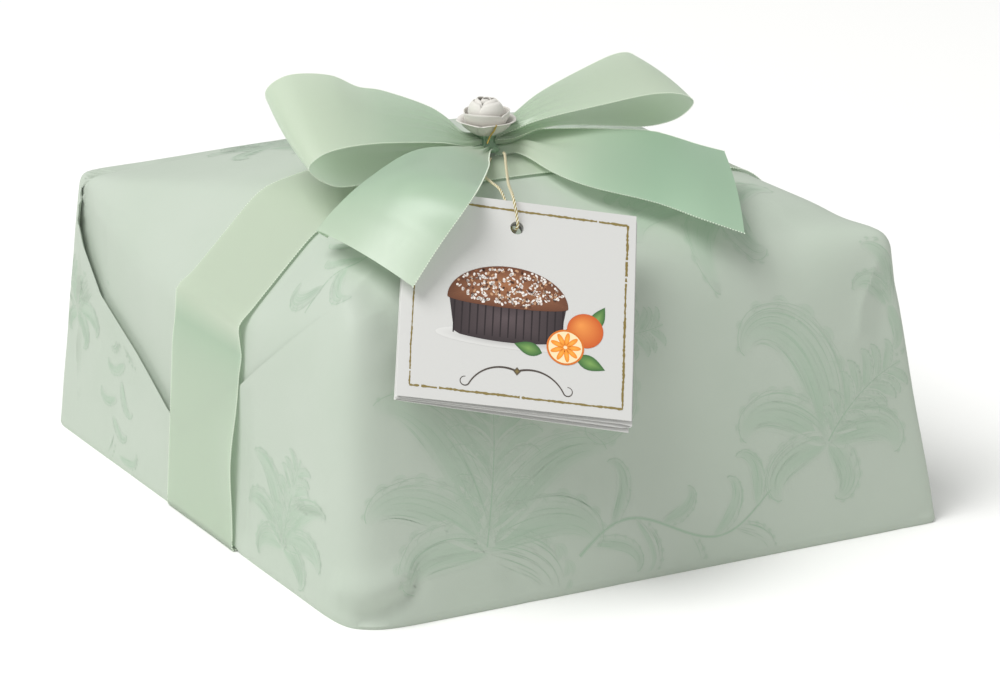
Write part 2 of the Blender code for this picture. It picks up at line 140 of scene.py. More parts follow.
def node_tree_with(name, **inputs):
    """A geometry node tree with its geometry sockets, and one named input for each kind of value."""
    tree = bpy.data.node_groups.new(name, "GeometryNodeTree")
    tree.interface.new_socket("Geometry", in_out="INPUT", socket_type="NodeSocketGeometry")
    tree.interface.new_socket("Geometry", in_out="OUTPUT", socket_type="NodeSocketGeometry")
    for label, kind in inputs.items():
        tree.interface.new_socket(label.replace("_", " "), in_out="INPUT", socket_type="NodeSocket" + kind)
    return tree, tree.nodes.new("NodeGroupInput").outputs, tree.nodes.new("NodeGroupOutput").inputs


def end_tree(tree, shape, result, material):
    """Ends a node tree: what it made becomes one real, smooth mesh in its own material."""
    real = add_node(tree, "GeometryNodeRealizeInstances", Geometry=shape)
    soft = add_node(tree, "GeometryNodeSetShadeSmooth", Geometry=real)
    dyed = add_node(tree, "GeometryNodeSetMaterial", Geometry=soft, Material=material)
    tree.links.new(dyed.outputs[0], result[0])
    return tree


def grow(name, source, tree, **values):
    """Runs a node tree on a piece's base shape, and keeps what it makes as a plain mesh piece."""
    modifier = source.modifiers.new(name, "NODES")
    modifier.node_group = tree
    for socket in tree.interface.items_tree:
        if socket.in_out == "INPUT" and socket.name.replace(" ", "_") in values:
            modifier[socket.identifier] = values[socket.name.replace(" ", "_")]
    bpy.context.view_layer.update()
    made = bpy.data.meshes.new_from_object(source.evaluated_get(bpy.context.evaluated_depsgraph_get()))
    made.name = name
    bpy.data.objects.remove(source)
    return add_object(name, made)


def add_piece(name, points, faces=(), material=None, edges=()):
    """A smooth mesh piece from points that are measured from the pack's near left corner."""
    mesh = bpy.data.meshes.new(name)
    mesh.from_pydata((np.asarray(points, float) - PACK_ORIGIN).tolist(), edges, faces)
    mesh.shade_smooth()
    if material:
        mesh.materials.append(material)
    return add_object(name, mesh)


def add_lines(name, lines):
    """Base shape for a node tree: edges along each line."""
    edges, start = [], 0
    for line in lines:
        edges += [(start + i, start + i + 1) for i in range(len(line) - 1)]
        start += len(line)
    return add_piece(name, np.concatenate(lines), edges=edges)


def ride(piece, slot, *nodes):
    """Fixes a piece to the pack and lets it stand for the plain solids named. The finish's name, slot, is not
    used.
    """
    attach(piece, "root")
    if nodes:
        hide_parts(*nodes)


def twisted_yarns():
    """Node tree for a cord: four yarns wound round a line, marked -1 where white and 1 where gold."""
    tree, given, result = node_tree_with("twisted_yarns", Thickness="Float", Pitch="Float", Step="Float",
                                         Finish="Material")
    line = add_node(tree, "GeometryNodeMeshToCurve", Mesh=given["Geometry"])
    even = add_node(tree, "GeometryNodeResampleCurve", mode="LENGTH", Curve=line, Length=given["Step"])
    along = add_node(tree, "GeometryNodeSplineParameter")
    turns = add_node(tree, "ShaderNodeMath", operation="DIVIDE", s0=along.outputs["Length"],
                     s1=given["Pitch"])
    angle = add_node(tree, "ShaderNodeMath", operation="MULTIPLY", s0=turns, s1=math.tau)
    wound = add_node(tree, "GeometryNodeSetCurveTilt", Curve=even, Tilt=angle)
    ring = add_node(tree, "GeometryNodeCurvePrimitiveCircle", mode="RADIUS", Resolution=24, Radius=0.5)
    place = add_node(tree, "GeometryNodeInputPosition")
    split = add_node(tree, "ShaderNodeSeparateXYZ", Vector=place)
    turn = add_node(tree, "ShaderNodeMath", operation="ARCTAN2", s0=split.outputs[1], s1=split.outputs[0])
    twice = add_node(tree, "ShaderNodeMath", operation="MULTIPLY", s0=turn, s1=2.0)
    wave = add_node(tree, "ShaderNodeMath", operation="COSINE", s0=twice)
    swell = add_node(tree, "ShaderNodeMath", operation="ABSOLUTE", s0=wave)
    # Between two yarns the outline goes in to 0.64 of the cord's radius
    size = add_node(tree, "ShaderNodeMath", operation="MULTIPLY_ADD", s0=swell, s1=0.38, s2=0.64)
    scaled = add_node(tree, "ShaderNodeVectorMath", operation="SCALE", Vector=place, Scale=size)
    lobed = add_node(tree, "GeometryNodeSetPosition", Geometry=ring, Position=scaled)
    marked = add_node(tree, "GeometryNodeStoreNamedAttribute", data_type="FLOAT", domain="POINT",
                      Geometry=lobed, Name="yarn", Value=wave)
    swept = add_node(tree, "GeometryNodeCurveToMesh", Curve=wound, Profile_Curve=marked,
                     Scale=given["Thickness"], Fill_Caps=True)
    return end_tree(tree, swept, result, given["Finish"])


# Viscose and metallised yarns: a silky white, and a pale gold with a little glitter
two_yarns, shades, shader = finish("twisted_viscose_and_lurex", "#EFE9D8", 0.48, Sheen_Weight=0.15)
yarn = add_node(shades, "ShaderNodeAttribute", attribute_name="yarn")
is_gold = add_node(shades, "ShaderNodeMapRange", Value=yarn.outputs["Fac"], From_Min=-0.25, From_Max=0.25)
dye = add_node(shades, "ShaderNodeMix", data_type="RGBA", Factor=is_gold, s6=linear("#F2EFD6"),
               s7=linear("#A08A42"))
shades.links.new(dye.outputs[2], shader.inputs["Base Color"])

cord_points = [(0.1262, 0.1222, 0.1562), (0.1233, 0.1150, 0.1570), (0.1094, 0.0850, 0.1598),
               (0.0982, 0.0600, 0.1611),
               on_tag(HOLE_RIGHT - 0.0026, TAG_HEIGHT / 2 + 0.0010, 0.0022),
               on_tag(HOLE_RIGHT - 0.0006, HOLE_UP + 0.0040, 0.0020),
               on_tag(HOLE_RIGHT, HOLE_UP + 0.0004, 0.0010), on_tag(HOLE_RIGHT, HOLE_UP, -TAG_STACK / 2),
               on_tag(HOLE_RIGHT, HOLE_UP + 0.0006, -TAG_STACK - 0.0006),
               on_tag(HOLE_RIGHT - 0.0010, HOLE_UP + 0.0050, -TAG_STACK - 0.0024),
               on_tag(HOLE_RIGHT - 0.0018, TAG_HEIGHT / 2 - 0.0010, -TAG_STACK - 0.0030),
               (0.0948, 0.0606, 0.1588), (0.0969, 0.0743, 0.1588), (0.1018, 0.0900, 0.1566),
               (0.1106, 0.1080, 0.1546), (0.1195, 0.1215, 0.1545)]
cord_line = smooth_through(cord_points, 8)
yarn_tree = twisted_yarns()
tag_cord = grow("twisted_tag_cord", add_lines("tag_cord_line", [cord_line]), yarn_tree, Thickness=CORD_THICK,
                Pitch=TWIST_PITCH, Step=0.00022, Finish=two_yarns)
ride(tag_cord, "gold_and_white_thread", "tag_cord")

# The pack is wrapped in one sheet of coated paper. It is drawn tight over a soft filling, so the walls lean
# in and the top domes. At each end the sides are folded in as a V, over the sheet that comes down from the
# top. Both ends stand a little aslant.
FRONT, SIDE, LEFT_SKEW, RIGHT_SKEW = 0.280, 0.290, 0.030, 0.012
# How far each wall leans in for each metre of its height
LEFT_LEAN, RIGHT_LEAN, FRONT_LEAN, BACK_LEAN = 0.070, 0.112, 0.20, 0.12
HEART = np.array([0.128, 0.147, 0.0])
WALL_TOP = 0.118
DOME_X, DOME_Y, DOME_HALF_X, DOME_HALF_Y = 0.125, 0.150, 0.140, 0.128
DOME_RIM, DOME_RISE = 0.129, 0.0232
# The sheets that slope from the end walls up to the top: how steep they are, and the heights of their feet
END_SLOPE, CORNER_FOOT, LEFT_FOOT, RIGHT_FOOT = 1.12, 0.131, 0.096, 0.112
TIGHT_FOLD = 0.0018
BAND_MIDDLE, RIBBON = 0.1355, 0.063


def soft_max(values, blend):
    """The largest of several distances, with its corners rounded over the blend length."""
    top = np.maximum.reduce(values)
    return top + blend * np.log(sum(np.exp((v - top) / blend) for v in values))


def fade(value):
    """A share, kept between 0 and 1."""
    return np.clip(value, 0.0, 1.0)


def unit(vectors):
    """Several vectors, each brought to length 1."""
    return vectors / np.linalg.norm(vectors, axis=-1)[..., None]


def across(y):
    """-1 at the front wall's top, +1 at the back wall's."""
    return (y - DOME_Y) / DOME_HALF_Y


def end_foot(y, right):
    """Where the foot of an end wall stands along X."""
    return FRONT - RIGHT_SKEW * y / SIDE if right else -LEFT_SKEW * y / SIDE


def dome(x, y):
    """Height of the top sheet before its edges are rounded. It falls off faster to the left."""
    along = (x - DOME_X) / DOME_HALF_X
    fall = np.where(along < 0.0, 1.15, 0.80) * along ** 2
    return DOME_RIM + DOME_RISE * (1.0 - across(y) ** 2) * (1.0 - fall)


def chamfer(inset, y, z, middle_foot):
    """Distance outside the sheet that slopes from an end wall up to the top."""
    foot = middle_foot + (CORNER_FOOT - middle_foot) * np.abs(across(y)) ** 1.7
    return (z - foot - END_SLOPE * inset) / math.hypot(1.0, END_SLOPE)


def outside(p):
    """Signed distance of points outside the taut paper."""
    x, y, z = p[..., 0], p[..., 1], p[..., 2]
    left = end_foot(y, False) + LEFT_LEAN * z - x
    right = x - end_foot(y, True) + RIGHT_LEAN * z
    # The near left corner, and the front's top edge up to the right shoulder, are rounder than the rest
    near = fade(1.0 - x / 0.09) * fade(1.0 - y / 0.09)
    walls = soft_max([left, right, FRONT_LEAN * z - y, y - SIDE + BACK_LEAN * z], 0.0020 + 0.0065 * near)
    rounding = TIGHT_FOLD + 0.0162 * fade(1.0 - y / 0.10) * fade((0.265 - x) / 0.055)
    tops = [z - dome(x, y), chamfer(-left, y, z, LEFT_FOOT), chamfer(-right, y, z, RIGHT_FOOT)]
    return soft_max([walls, soft_max(tops, TIGHT_FOLD)], rounding)


def cast(origins, ways, reach=0.32):
    """Where rays that start inside leave the paper, by bisection."""
    near, far = np.zeros(origins.shape[:-1]), np.full(origins.shape[:-1], reach)
    for _ in range(30):
        half = 0.5 * (near + far)
        out = outside(origins + ways * half[..., None]) > 0.0
        far, near = np.where(out, half, far), np.where(out, near, half)
    return origins + ways * far[..., None]


def outward_at(p, distance=outside):
    """Unit normals of the taut paper, or of a surface with another signed distance."""
    steps = np.eye(3) * 0.0004
    return unit(np.stack([distance(p + s) - distance(p - s) for s in steps], axis=-1))


def footprint(count):
    """Points round the footprint, closer together near its corners."""
    corners = np.array([[0, 0], [FRONT, 0], [FRONT - RIGHT_SKEW, SIDE], [-LEFT_SKEW, SIDE]], float)
    even = np.arange(count) / count
    share = (0.35 * even + 0.65 * (1.0 - np.cos(math.pi * even)) / 2.0)[:, None]
    return np.concatenate([a + (b - a) * share for a, b in zip(corners, np.roll(corners, -1, axis=0))])


def ring(height, ways):
    """Where rays from one height on the pack's upright middle line come out through the paper."""
    start = HEART + np.array([0.0, 0.0, height])
    return cast(np.broadcast_to(start, ways.shape), unit(ways))


def line_distance(p, line):
    """Distance of points from a line of straight stretches."""
    best = np.full(len(p), 1.0)
    for a, b in zip(line, line[1:]):
        run = b - a
        share = fade((p - a) @ run / (run @ run))
        best = np.minimum(best, np.linalg.norm(p - a - share[:, None] * run, axis=1))
    return best


# Creases and bulges of the paper: points along each in mm, height in mm, half width in mm, and sharpness
# (2 for a soft swell, 1 for a pointed crest)
CREASES = [
    ([(2, 14, 15), (10.6, 5.6, 16.3), (18.7, 4.1, 17.5), (25.7, 4.0, 18.9)], 2.6, 7.0, 2),
    ([(28.1, 3.3, 16.0), (23.3, 2.7, 12.3), (15.6, 2.5, 7.3), (7.3, 4.5, 3.8)], -2.4, 5.0, 2),
    ([(31.5, 3.8, 22), (28.9, 3.3, 15.9), (26.0, 2.8, 11.0)], -1.6, 3.0, 1),
    ([(-2.6, 50.6, 36.4), (-1.8, 43.9, 37.8), (-0.3, 32.6, 40.4)], -1.1, 3.0, 1),
    ([(-2.6, 48, 41), (-0.3, 32.6, 44)], 0.8, 4.0, 2),
    ([(71, 2, 14), (74.4, 1.4, 6.6), (80.6, 0.0, 0.0)], -0.9, 3.0, 1),
    ([(136, 2.5, 12), (134.7, 1.5, 7.4), (121, 0.5, 2.2)], -0.8, 3.5, 1),
    ([(262, 27, 121), (254.4, 22.7, 113.1), (247.2, 19.9, 99.2), (245, 18.2, 88)], 1.1, 4.0, 1),
    ([(262, 20, 106), (258, 18, 98), (256, 16, 88)], -0.9, 6.0, 2),
    ([(227.8, 44.3, 132.3), (239.7, 47.4, 132.7), (250.2, 48.8, 131.8)], -1.7, 11.0, 2),
    ([(215, 20, 124), (222, 30, 130)], -0.9, 12.0, 2),
    ([(274, 2, 6), (268.3, 0.7, 4), (258, 0.1, 1.0)], -0.9, 3.0, 1),
    ([(16.5, 45.5, 126), (23.2, 46.7, 129.7), (34, 54.2, 133.7)], 0.7, 3.0, 1),
    ([(28, 40, 127), (33, 36, 124), (30, 28, 116)], -1.2, 7.0, 2),
    ([(-8, 99, 70), (-9, 98, 45), (-10, 97, 12)], -1.6, 6.0, 2),
    ([(60, 8, 40), (95, 8, 52), (140, 10, 60)], -0.8, 22.0, 2),
    ([(170, 12, 70), (200, 12, 60), (240, 10, 66)], 0.9, 20.0, 2),
]


def paper_height(p):
    """How far the paper stands out from its taut form, in metres."""
    x, y, z = p.T
    height = 0.00035 * np.sin(46 * x + 1.2) * np.sin(39 * y + 0.4) * np.cos(52 * z)
    height += 0.00016 * np.sin(118 * x + 63 * z + 2.0) * np.sin(97 * y - 81 * z)
    for line, rise, width, power in CREASES:
        far = line_distance(p, np.array(line) / 1000.0)
        height += rise / 1000.0 * np.exp(-(far * 1000.0 / width) ** power)
    under_ribbon = fade((np.abs(y - BAND_MIDDLE) - RIBBON / 2) / 0.006)
    return height * under_ribbon * fade(z / 0.004)


# Free edge of the folded flaps at an end, as Y and Z in mm, from the near top corner down to the ribbon and
# up to the far one. The flap lifts off by the third number, and the sheet inside falls back by the fourth.
V_EDGE = np.array([(45.5, 126, 0.0, 0.0), (50.1, 121, 0.0, 0.0), (62.3, 109.3, 0.6, 0.5),
                   (81.1, 92.8, 0.8, 1.1), (107.1, 72.8, 0.8, 1.2), (135, 51.5, 0.4, 0.8),
                   (155, 36, 0.3, 0.8), (173, 45, 1.3, 2.0), (190, 53, 1.0, 2.2),
                   (205, 60.2, 0.9, 2.4), (224, 68.5, 0.9, 2.2), (242.1, 76.7, 1.0, 1.8),
                   (251, 86.5, 1.8, 1.8), (259.5, 95.9, 2.6, 1.8), (266.5, 107.5, 2.8, 1.5),
                   (267.4, 118, 1.4, 0.8), (268, 126.5, 0.0, 0.0)]) / 1000.0
# The left end's paper lies before the first X and the right end's beyond the second, and the V is above Z.
# The fold's hem goes in by HEM, and the pocket behind it runs POCKET deep at a slant of POCKET_DROP.
LEFT_END, RIGHT_END, V_LOWEST = 0.050, 0.232, 0.02
HEM, POCKET, POCKET_DROP = 0.0003, 0.006, 0.0002


def v_fold(points, normals, faces, sign):
    """Cuts one end's paper along the V and slips the inner sheet under the flap, leaving a narrow pocket."""
    y, z = points[:, 1], points[:, 2]
    at_end = (points[:, 0] < LEFT_END if sign < 0 else points[:, 0] > RIGHT_END) & (z > V_LOWEST)
    at_end &= (y > V_EDGE[0, 0] - 0.001) & (y < V_EDGE[-1, 0] + 0.001)
    edge_z, lift, drop = (np.interp(y, V_EDGE[:, 0], V_EDGE[:, k]) for k in (1, 2, 3))
    run = np.arange(-0.05, 0.35, 0.001)
    tilt = np.interp(y, run, np.gradient(np.interp(run, V_EDGE[:, 0], V_EDGE[:, 1]), 0.001))
    inside = (z - edge_z) / np.sqrt(1.0 + tilt ** 2)
    if sign > 0:
        # The right end is folded flatter
        lift, drop = lift * 0.45, drop * 0.7
    in_reach = at_end & (y > V_EDGE[0, 0]) & (y < V_EDGE[-1, 0])
    verts, outs = list(points), list(normals)
    sunk, lifted = -drop * np.exp(-(inside / 0.020) ** 2), lift * np.exp(-(inside / 0.011) ** 2)
    shifts = list(np.where(in_reach, np.where(inside > 0, sunk, lifted), 0.0))
    kept, pockets, cuts = [], [], {}
    towards = unit(np.stack([np.zeros(len(y)), -tilt, np.ones(len(y))], axis=1))

    def cut_point(i, j):
        """Where an edge crosses the fold: the flap's point, its hem, the pocket's end, the inner sheet's."""
        key = (min(i, j), max(i, j))
        if key not in cuts:
            share = inside[i] / (inside[i] - inside[j])
            place = points[i] + (points[j] - points[i]) * share
            out = normals[i] + (normals[j] - normals[i]) * share
            way = towards[i] + (towards[j] - towards[i]) * share
            up, down = lift[i] + (lift[j] - lift[i]) * share, drop[i] + (drop[j] - drop[i]) * share
            if not (in_reach[i] and in_reach[j]):
                up = down = 0.0
            size = min(1.0, (up + down) / 0.0006)
            hem = place + out * (up - HEM * size)
            pocket = place - out * POCKET_DROP * size - way * POCKET * size
            first = len(verts)
            verts.extend([place, hem, pocket, place])
            outs.extend([out] * 4)
            shifts.extend([up, 0.0, 0.0, -down])
            cuts[key] = (first, first + 1, first + 2, first + 3)
        return cuts[key]

    for face in faces:
        i, j, k = face
        if not (at_end[i] and at_end[j] and at_end[k]) or len({inside[v] > 0 for v in face}) == 1:
            kept.append(face)
            continue
        while (inside[i] > 0) == (inside[j] > 0) or (inside[i] > 0) == (inside[k] > 0):
            i, j, k = j, k, i
        side, other = (3, 0) if inside[i] > 0 else (0, 3)
        a, b = cut_point(i, j), cut_point(i, k)
        kept += [(i, a[side], b[side]), (a[other], j, k), (a[other], k, b[other])]
        for n in range(3):
            pockets += [(a[n], b[n], b[n + 1], a[n + 1])]
    return np.array(verts) + np.array(outs) * np.array(shifts)[:, None], np.array(outs), kept, pockets


to_foot = footprint(132) - HEART[:2]
around = len(to_foot)
# The walls' rings stop below the lowest place where the first ring of the top comes out
wall_levels = np.concatenate([[0.0015, 0.004], np.linspace(0.0065, WALL_TOP - 0.0055, 49)])
rings = [ring(level, np.column_stack([to_foot, np.zeros(around)])) for level in wall_levels]
for climb in np.concatenate([np.linspace(0.008, 0.34, 34), np.linspace(0.355, 0.985, 36)]):
    rise = np.full(around, 0.03 + 0.03 * min(1.0, climb * 3.0))
    rings.append(ring(WALL_TOP - 0.03, np.column_stack([to_foot * 0.96 * (1.0 - climb), rise])))
apex = ring(0.1, np.array([[0.0, 0.0, 1.0]]))
paper_points = np.concatenate(rings + [apex])
paper_faces = []
for j in range(len(rings) - 1):
    for i in range(around):
        a, b = j * around + i, j * around + (i + 1) % around
        paper_faces += [(a, b, b + around), (a, b + around, a + around)]
last = (len(rings) - 1) * around
paper_faces += [(last + i, last + (i + 1) % around, len(paper_points) - 1) for i in range(around)]
paper_out = outward_at(paper_points)
paper_points = paper_points + paper_out * paper_height(paper_points)[:, None]
slips = []
for sign in (-1, 1):
    paper_points, paper_out, paper_faces, pockets = v_fold(paper_points, paper_out, paper_faces, sign)
    slips += pockets

# Underside: the paper turns in under the pack, and is pressed up where the ribbon runs
rim = paper_points[:around].copy()
by_ribbon = fade((0.036 - np.abs(rim[:, 1] - BAND_MIDDLE)) / 0.004) * (np.abs(rim[:, 0] - 0.13) > 0.12)
paper_points[:around, 2] = 0.0015 + 0.0012 * by_ribbon
first = len(paper_points)
turned_in = HEART + (rim - HEART) * 0.997
turned_in[:, 2] = 0.0014 * by_ribbon
under = HEART + (rim - HEART) * 0.955
under[:, 2] = 0.0014
paper_points = np.concatenate([paper_points, turned_in, under])
for i in range(around):
    k = (i + 1) % around
    slips += [(i, first + i, first + k, k), (first + i, first + around + i, first + around + k, first + k)]
slips.append(tuple(range(first + 2 * around - 1, first + around - 1, -1)))


def add_grain(shades, shader, *layers):
    """Bumps from noise, one on the other: each layer's scale in one metre, its strength and its depth."""
    where = add_node(shades, "ShaderNodeTexCoord")
    below = {}
    for scale, strength, depth in layers:
        noise = add_node(shades, "ShaderNodeTexNoise", Vector=where.outputs["Object"], Scale=scale,
                         Detail=2.0)
        bump = add_node(shades, "ShaderNodeBump", Strength=strength, Distance=depth,
                        Height=noise.outputs["Fac"], **below)
        below = {"Normal": bump}
    shades.links.new(bump.outputs[0], shader.inputs["Normal"])


# Coated kraft-backed paper: matt with a faint sheen, cloudy by a few per cent, and fine fibres under the coat
paper, shades, shader = finish("coated_gift_paper", "#B6BFB3", 0.56, Specular_IOR_Level=0.35)
where = add_node(shades, "ShaderNodeTexCoord")
cloud = add_node(shades, "ShaderNodeTexNoise", Vector=where.outputs["Object"], Scale=26.0, Detail=3.0,
                 Roughness=0.5)
tint = add_node(shades, "ShaderNodeMix", data_type="RGBA", Factor=cloud.outputs["Fac"],
                s6=linear("#B1BDAE"), s7=linear("#B9C2B6"))
# Where the sheet is printed, the ink's tone is mixed in
tone = add_node(shades, "ShaderNodeAttribute", attribute_name="tone")
inked = add_node(shades, "ShaderNodeMix", data_type="RGBA", Factor=tone.outputs["Fac"], s6=tint.outputs[2],
                 s7=linear("#8CAE90"))
shades.links.new(inked.outputs[2], shader.inputs["Base Color"])
# Fibres are about 0.05 mm wide; they are drawn 0.5 mm wide so that they show. The ripples are 11 mm apart.
add_grain(shades, shader, (2000.0, 0.05, 0.0002), (90.0, 0.16, 0.0012))

wrap = add_piece("paper_wrap", paper_points, paper_faces + slips, paper)
joined = bmesh.new()
joined.from_mesh(wrap.data)
bmesh.ops.remove_doubles(joined, verts=joined.verts, dist=0.000002)
bmesh.ops.recalc_face_normals(joined, faces=joined.faces)
# The folds can turn the whole sheet inside out here. A closed sheet that faces outwards holds a positive
# volume, so it is turned round where that is negative.
if joined.calc_volume(signed=True) < 0.0:
    bmesh.ops.reverse_faces(joined, faces=joined.faces)
joined.to_mesh(wrap.data)
joined.free()
wrap.data.set_sharp_from_angle(angle=math.radians(50.0))
ride(wrap, "printed_paper", "wrap")

# The paper is printed in one ink, a little greener than the sheet: scrolling plumes and leaves in the old
# engraved manner, built of soft tones that fade into the sheet, with fine hatch lines over them.


def arc(start, heading, length, bend, count=12):
    """Points and headings along a line that bends evenly, in the print's flat millimetres."""
    steps = np.linspace(0.0, 1.0, count)
    turn = heading + bend * steps
    ahead = np.column_stack([np.cos(turn), np.sin(turn)]) * (length / (count - 1))
    ahead[0] = 0.0
    return np.asarray(start) + np.cumsum(ahead, axis=0), turn


def plume(root, heading, length, curl, width, dice, bands=11, hatches=22):
    """A plume that curls tighter to its tip, as lines with half widths and depths of tone, in flat mm."""
    steps = 28
    share = np.linspace(0.0, 1.0, steps)
    turn = heading + curl * (0.30 * share + 0.70 * share ** 3)
    pace = 1.0 - 0.60 * share ** 2
    pace = np.where(share > 0.0, pace, 0.0) * length / pace[1:].sum()
    ahead = np.column_stack([np.cos(turn), np.sin(turn)])
    spine = np.asarray(root) + np.cumsum(ahead * pace[:, None], axis=0)
    side = np.column_stack([-np.sin(turn), np.cos(turn)]) * math.copysign(1.0, curl)
    half = width * (0.20 + 0.80 * np.sin(math.pi * share ** 0.8) ** 0.8) * (1.0 - 0.30 * share)
    tones, hatching = [], []
    for k in np.linspace(-1.0, 1.0, bands):
        depth = 0.08 + 0.46 * fade(0.5 + 0.6 * k) * (1.0 - 0.80 * share) + 0.16 * share ** 2 * fade(0.6 - k)
        depth = depth * fade((1.08 - abs(k)) / 0.6) * fade(share / 0.12 + 0.2) * fade((1.04 - share) / 0.25)
        tones.append((spine + side * (k * half)[:, None], half * 1.06 / (bands - 1) + 0.02, depth))
    for _ in range(hatches):
        k, first, count = dice.uniform(-0.97, 0.97), dice.randint(0, 14), dice.randint(8, 14)
        part = slice(first, min(steps, first + count))
        sweep = np.sin(np.linspace(0.1, math.pi - 0.1, len(share[part])))
        hatching.append((spine[part] + side[part] * (k * half[part])[:, None],
                         dice.uniform(0.08, 0.17) * sweep + 0.03, dice.uniform(0.28, 0.60) * sweep))
    rim = spine - side * (half * (1.0 + 0.05 * np.sin(26 * share)))[:, None]
    hatching.append((rim, 0.08 + 0.08 * share, 0.20 + 0.32 * share))
    # Pairs of short barbs along the outer side
    barb_steps = 8
    for at in range(4, 26, 3):
        for n in range(2):
            angle = turn[at] - math.copysign(0.75 - 0.35 * n, curl)
            size = half[at] * dice.uniform(0.75, 1.0)
            bend = math.copysign(1.6 + 0.5 * n, curl)
            line, _ = arc(spine[at] - side[at] * half[at] * 0.9, angle, size, bend, barb_steps)
            sweep = np.sin(np.linspace(0.3, 3.0, barb_steps))
            hatching.append((line, 0.11 * sweep, 0.38 * sweep))
            tones.append((line, 0.20 * half[at] * sweep, 0.16 * sweep))
    return tones, hatching


def gather(*parts):
    """Several drawn parts as one."""
    return [line for part in parts for line in part[0]], [line for part in parts for line in part[1]]


def long_leaf(root, heading, length, bend, dice):
    """A leaf with a rib and short curled lobes in pairs."""
    steps = 22
    rib, turns = arc(root, heading, length, bend, steps)
    parts = [([(rib, 0.25 + 0.05 * length * np.sin(np.linspace(0.2, 2.9, steps)), np.full(steps, 0.16))],
              [(rib, np.linspace(0.34, 0.10, steps), np.full(steps, 0.55))])]
    for n in range(7):
        at, size = 2 + int(2.5 * n), length * (0.20 + 0.16 * math.sin(0.4 + 0.36 * n))
        for way in (-1.0, 1.0):
            parts.append(plume(rib[at], turns[at] + 0.62 * way, size, 1.5 * way, 0.20 * size, dice, 5, 4))
    return gather(*parts)


def spray(size, dice):
    """A leaf standing between plumes that fall away to both sides."""
    parts = [long_leaf((0.0, 0.0), math.pi / 2, 0.92 * size, 0.25, dice)]
    for way in (-1.0, 1.0):
        for lean, reach, curl in ((0.42, 0.95, 1.7), (0.92, 0.80, 2.2), (1.45, 0.62, 2.8)):
            reach *= dice.uniform(0.9, 1.1)
            parts.append(plume((0.03 * size * way, 0.0), math.pi / 2 + lean * way, reach * size, curl * way,
                               0.135 * size, dice))
    return gather(*parts)


def crest(size, dice):
    """One great plume that rolls over, with lesser ones under it and a leaf thrown back."""
    root = (0.0, 0.0)
    parts = [plume(root, 1.9, 1.25 * size, -3.6, 0.20 * size, dice, 15, 40)]
    for heading, reach, curl, width in ((1.1, 0.80, -3.0, 0.15), (0.2, 0.62, -2.8, 0.12),
                                        (2.9, 0.66, 2.9, 0.14), (4.1, 0.46, 3.0, 0.11)):
        parts.append(plume(root, heading, reach * size, curl, width * size, dice))
    return gather(*parts, long_leaf(root, 2.35, 0.75 * size, 0.7, dice))


def tendril(size, dice):
    """A wavy stem with small plumes on alternate sides."""
    steps = 50
    share = np.linspace(0.0, 1.0, steps)
    stem = np.column_stack([size * 1.3 * (share - 0.5), size * 0.13 * np.sin(6.6 * share)])
    parts = [([(stem, np.linspace(0.9, 0.4, steps), np.full(steps, 0.30))],
              [(stem, np.linspace(0.30, 0.14, steps), np.full(steps, 0.60))])]
    for n, at in enumerate(range(3, 48, 6)):
        ahead = stem[at + 1] - stem[at]
        way = 1.0 if n % 2 else -1.0
        heading, length = math.atan2(ahead[1], ahead[0]) + 0.6 * way, size * dice.uniform(0.32, 0.44)
        parts.append(plume(stem[at], heading, length, 2.6 * way, 0.050 * size, dice, 7, 10))
    return gather(*parts)


# Each motif's kind, size in mm, turn in degrees, whether it is mirrored, the sheet that it is on, and its
# middle there in mm
PRINTS = [
    (crest, 66, 12, True, "front", (226, 44)), (spray, 82, -14, False, "front", (62, 26)),
    (tendril, 72, 6, False, "front", (150, 20)), (spray, 42, -60, False, "front", (262, 98)),
    (crest, 46, 200, False, "front", (118, 106)), (tendril, 56, 84, True, "end", (222, 36)),
    (spray, 46, 8, False, "end", (62, 18)), (crest, 34, 40, True, "end", (268, 62)),
    (spray, 62, 60, False, "top", (206, 62)), (crest, 52, 300, False, "top", (60, 232)),
    (spray, 60, 200, False, "top", (196, 214)), (tendril, 60, 20, True, "top", (46, 78)),
    (crest, 66, 30, False, "back", (90, 40)), (spray, 66, 0, False, "back", (214, 30)),
    (tendril, 64, 70, False, "far_end", (80, 40)), (spray, 56, -20, False, "far_end", (225, 30)),
]


def on_sheet(sheet, flat):
    """Flat print places in mm, laid on one side of the pack."""
    u, v = flat.T / 1000.0
    heart_x, heart_y, up = (np.full(len(u), value) for value in (HEART[0], HEART[1], 0.06))
    place, way = {
        "front": ((u, heart_y, v), (0.0, -1.0, 0.0)),
        "back": ((FRONT - u, heart_y, v), (0.0, 1.0, 0.0)),
        "end": ((heart_x, u, v), (-1.0, 0.0, 0.0)),
        "far_end": ((heart_x, u, v), (1.0, 0.0, 0.0)),
        "top": ((u, v, up), (0.0, 0.0, 1.0)),
    }[sheet]
    return cast(np.column_stack(place), np.tile(way, (len(u), 1)))


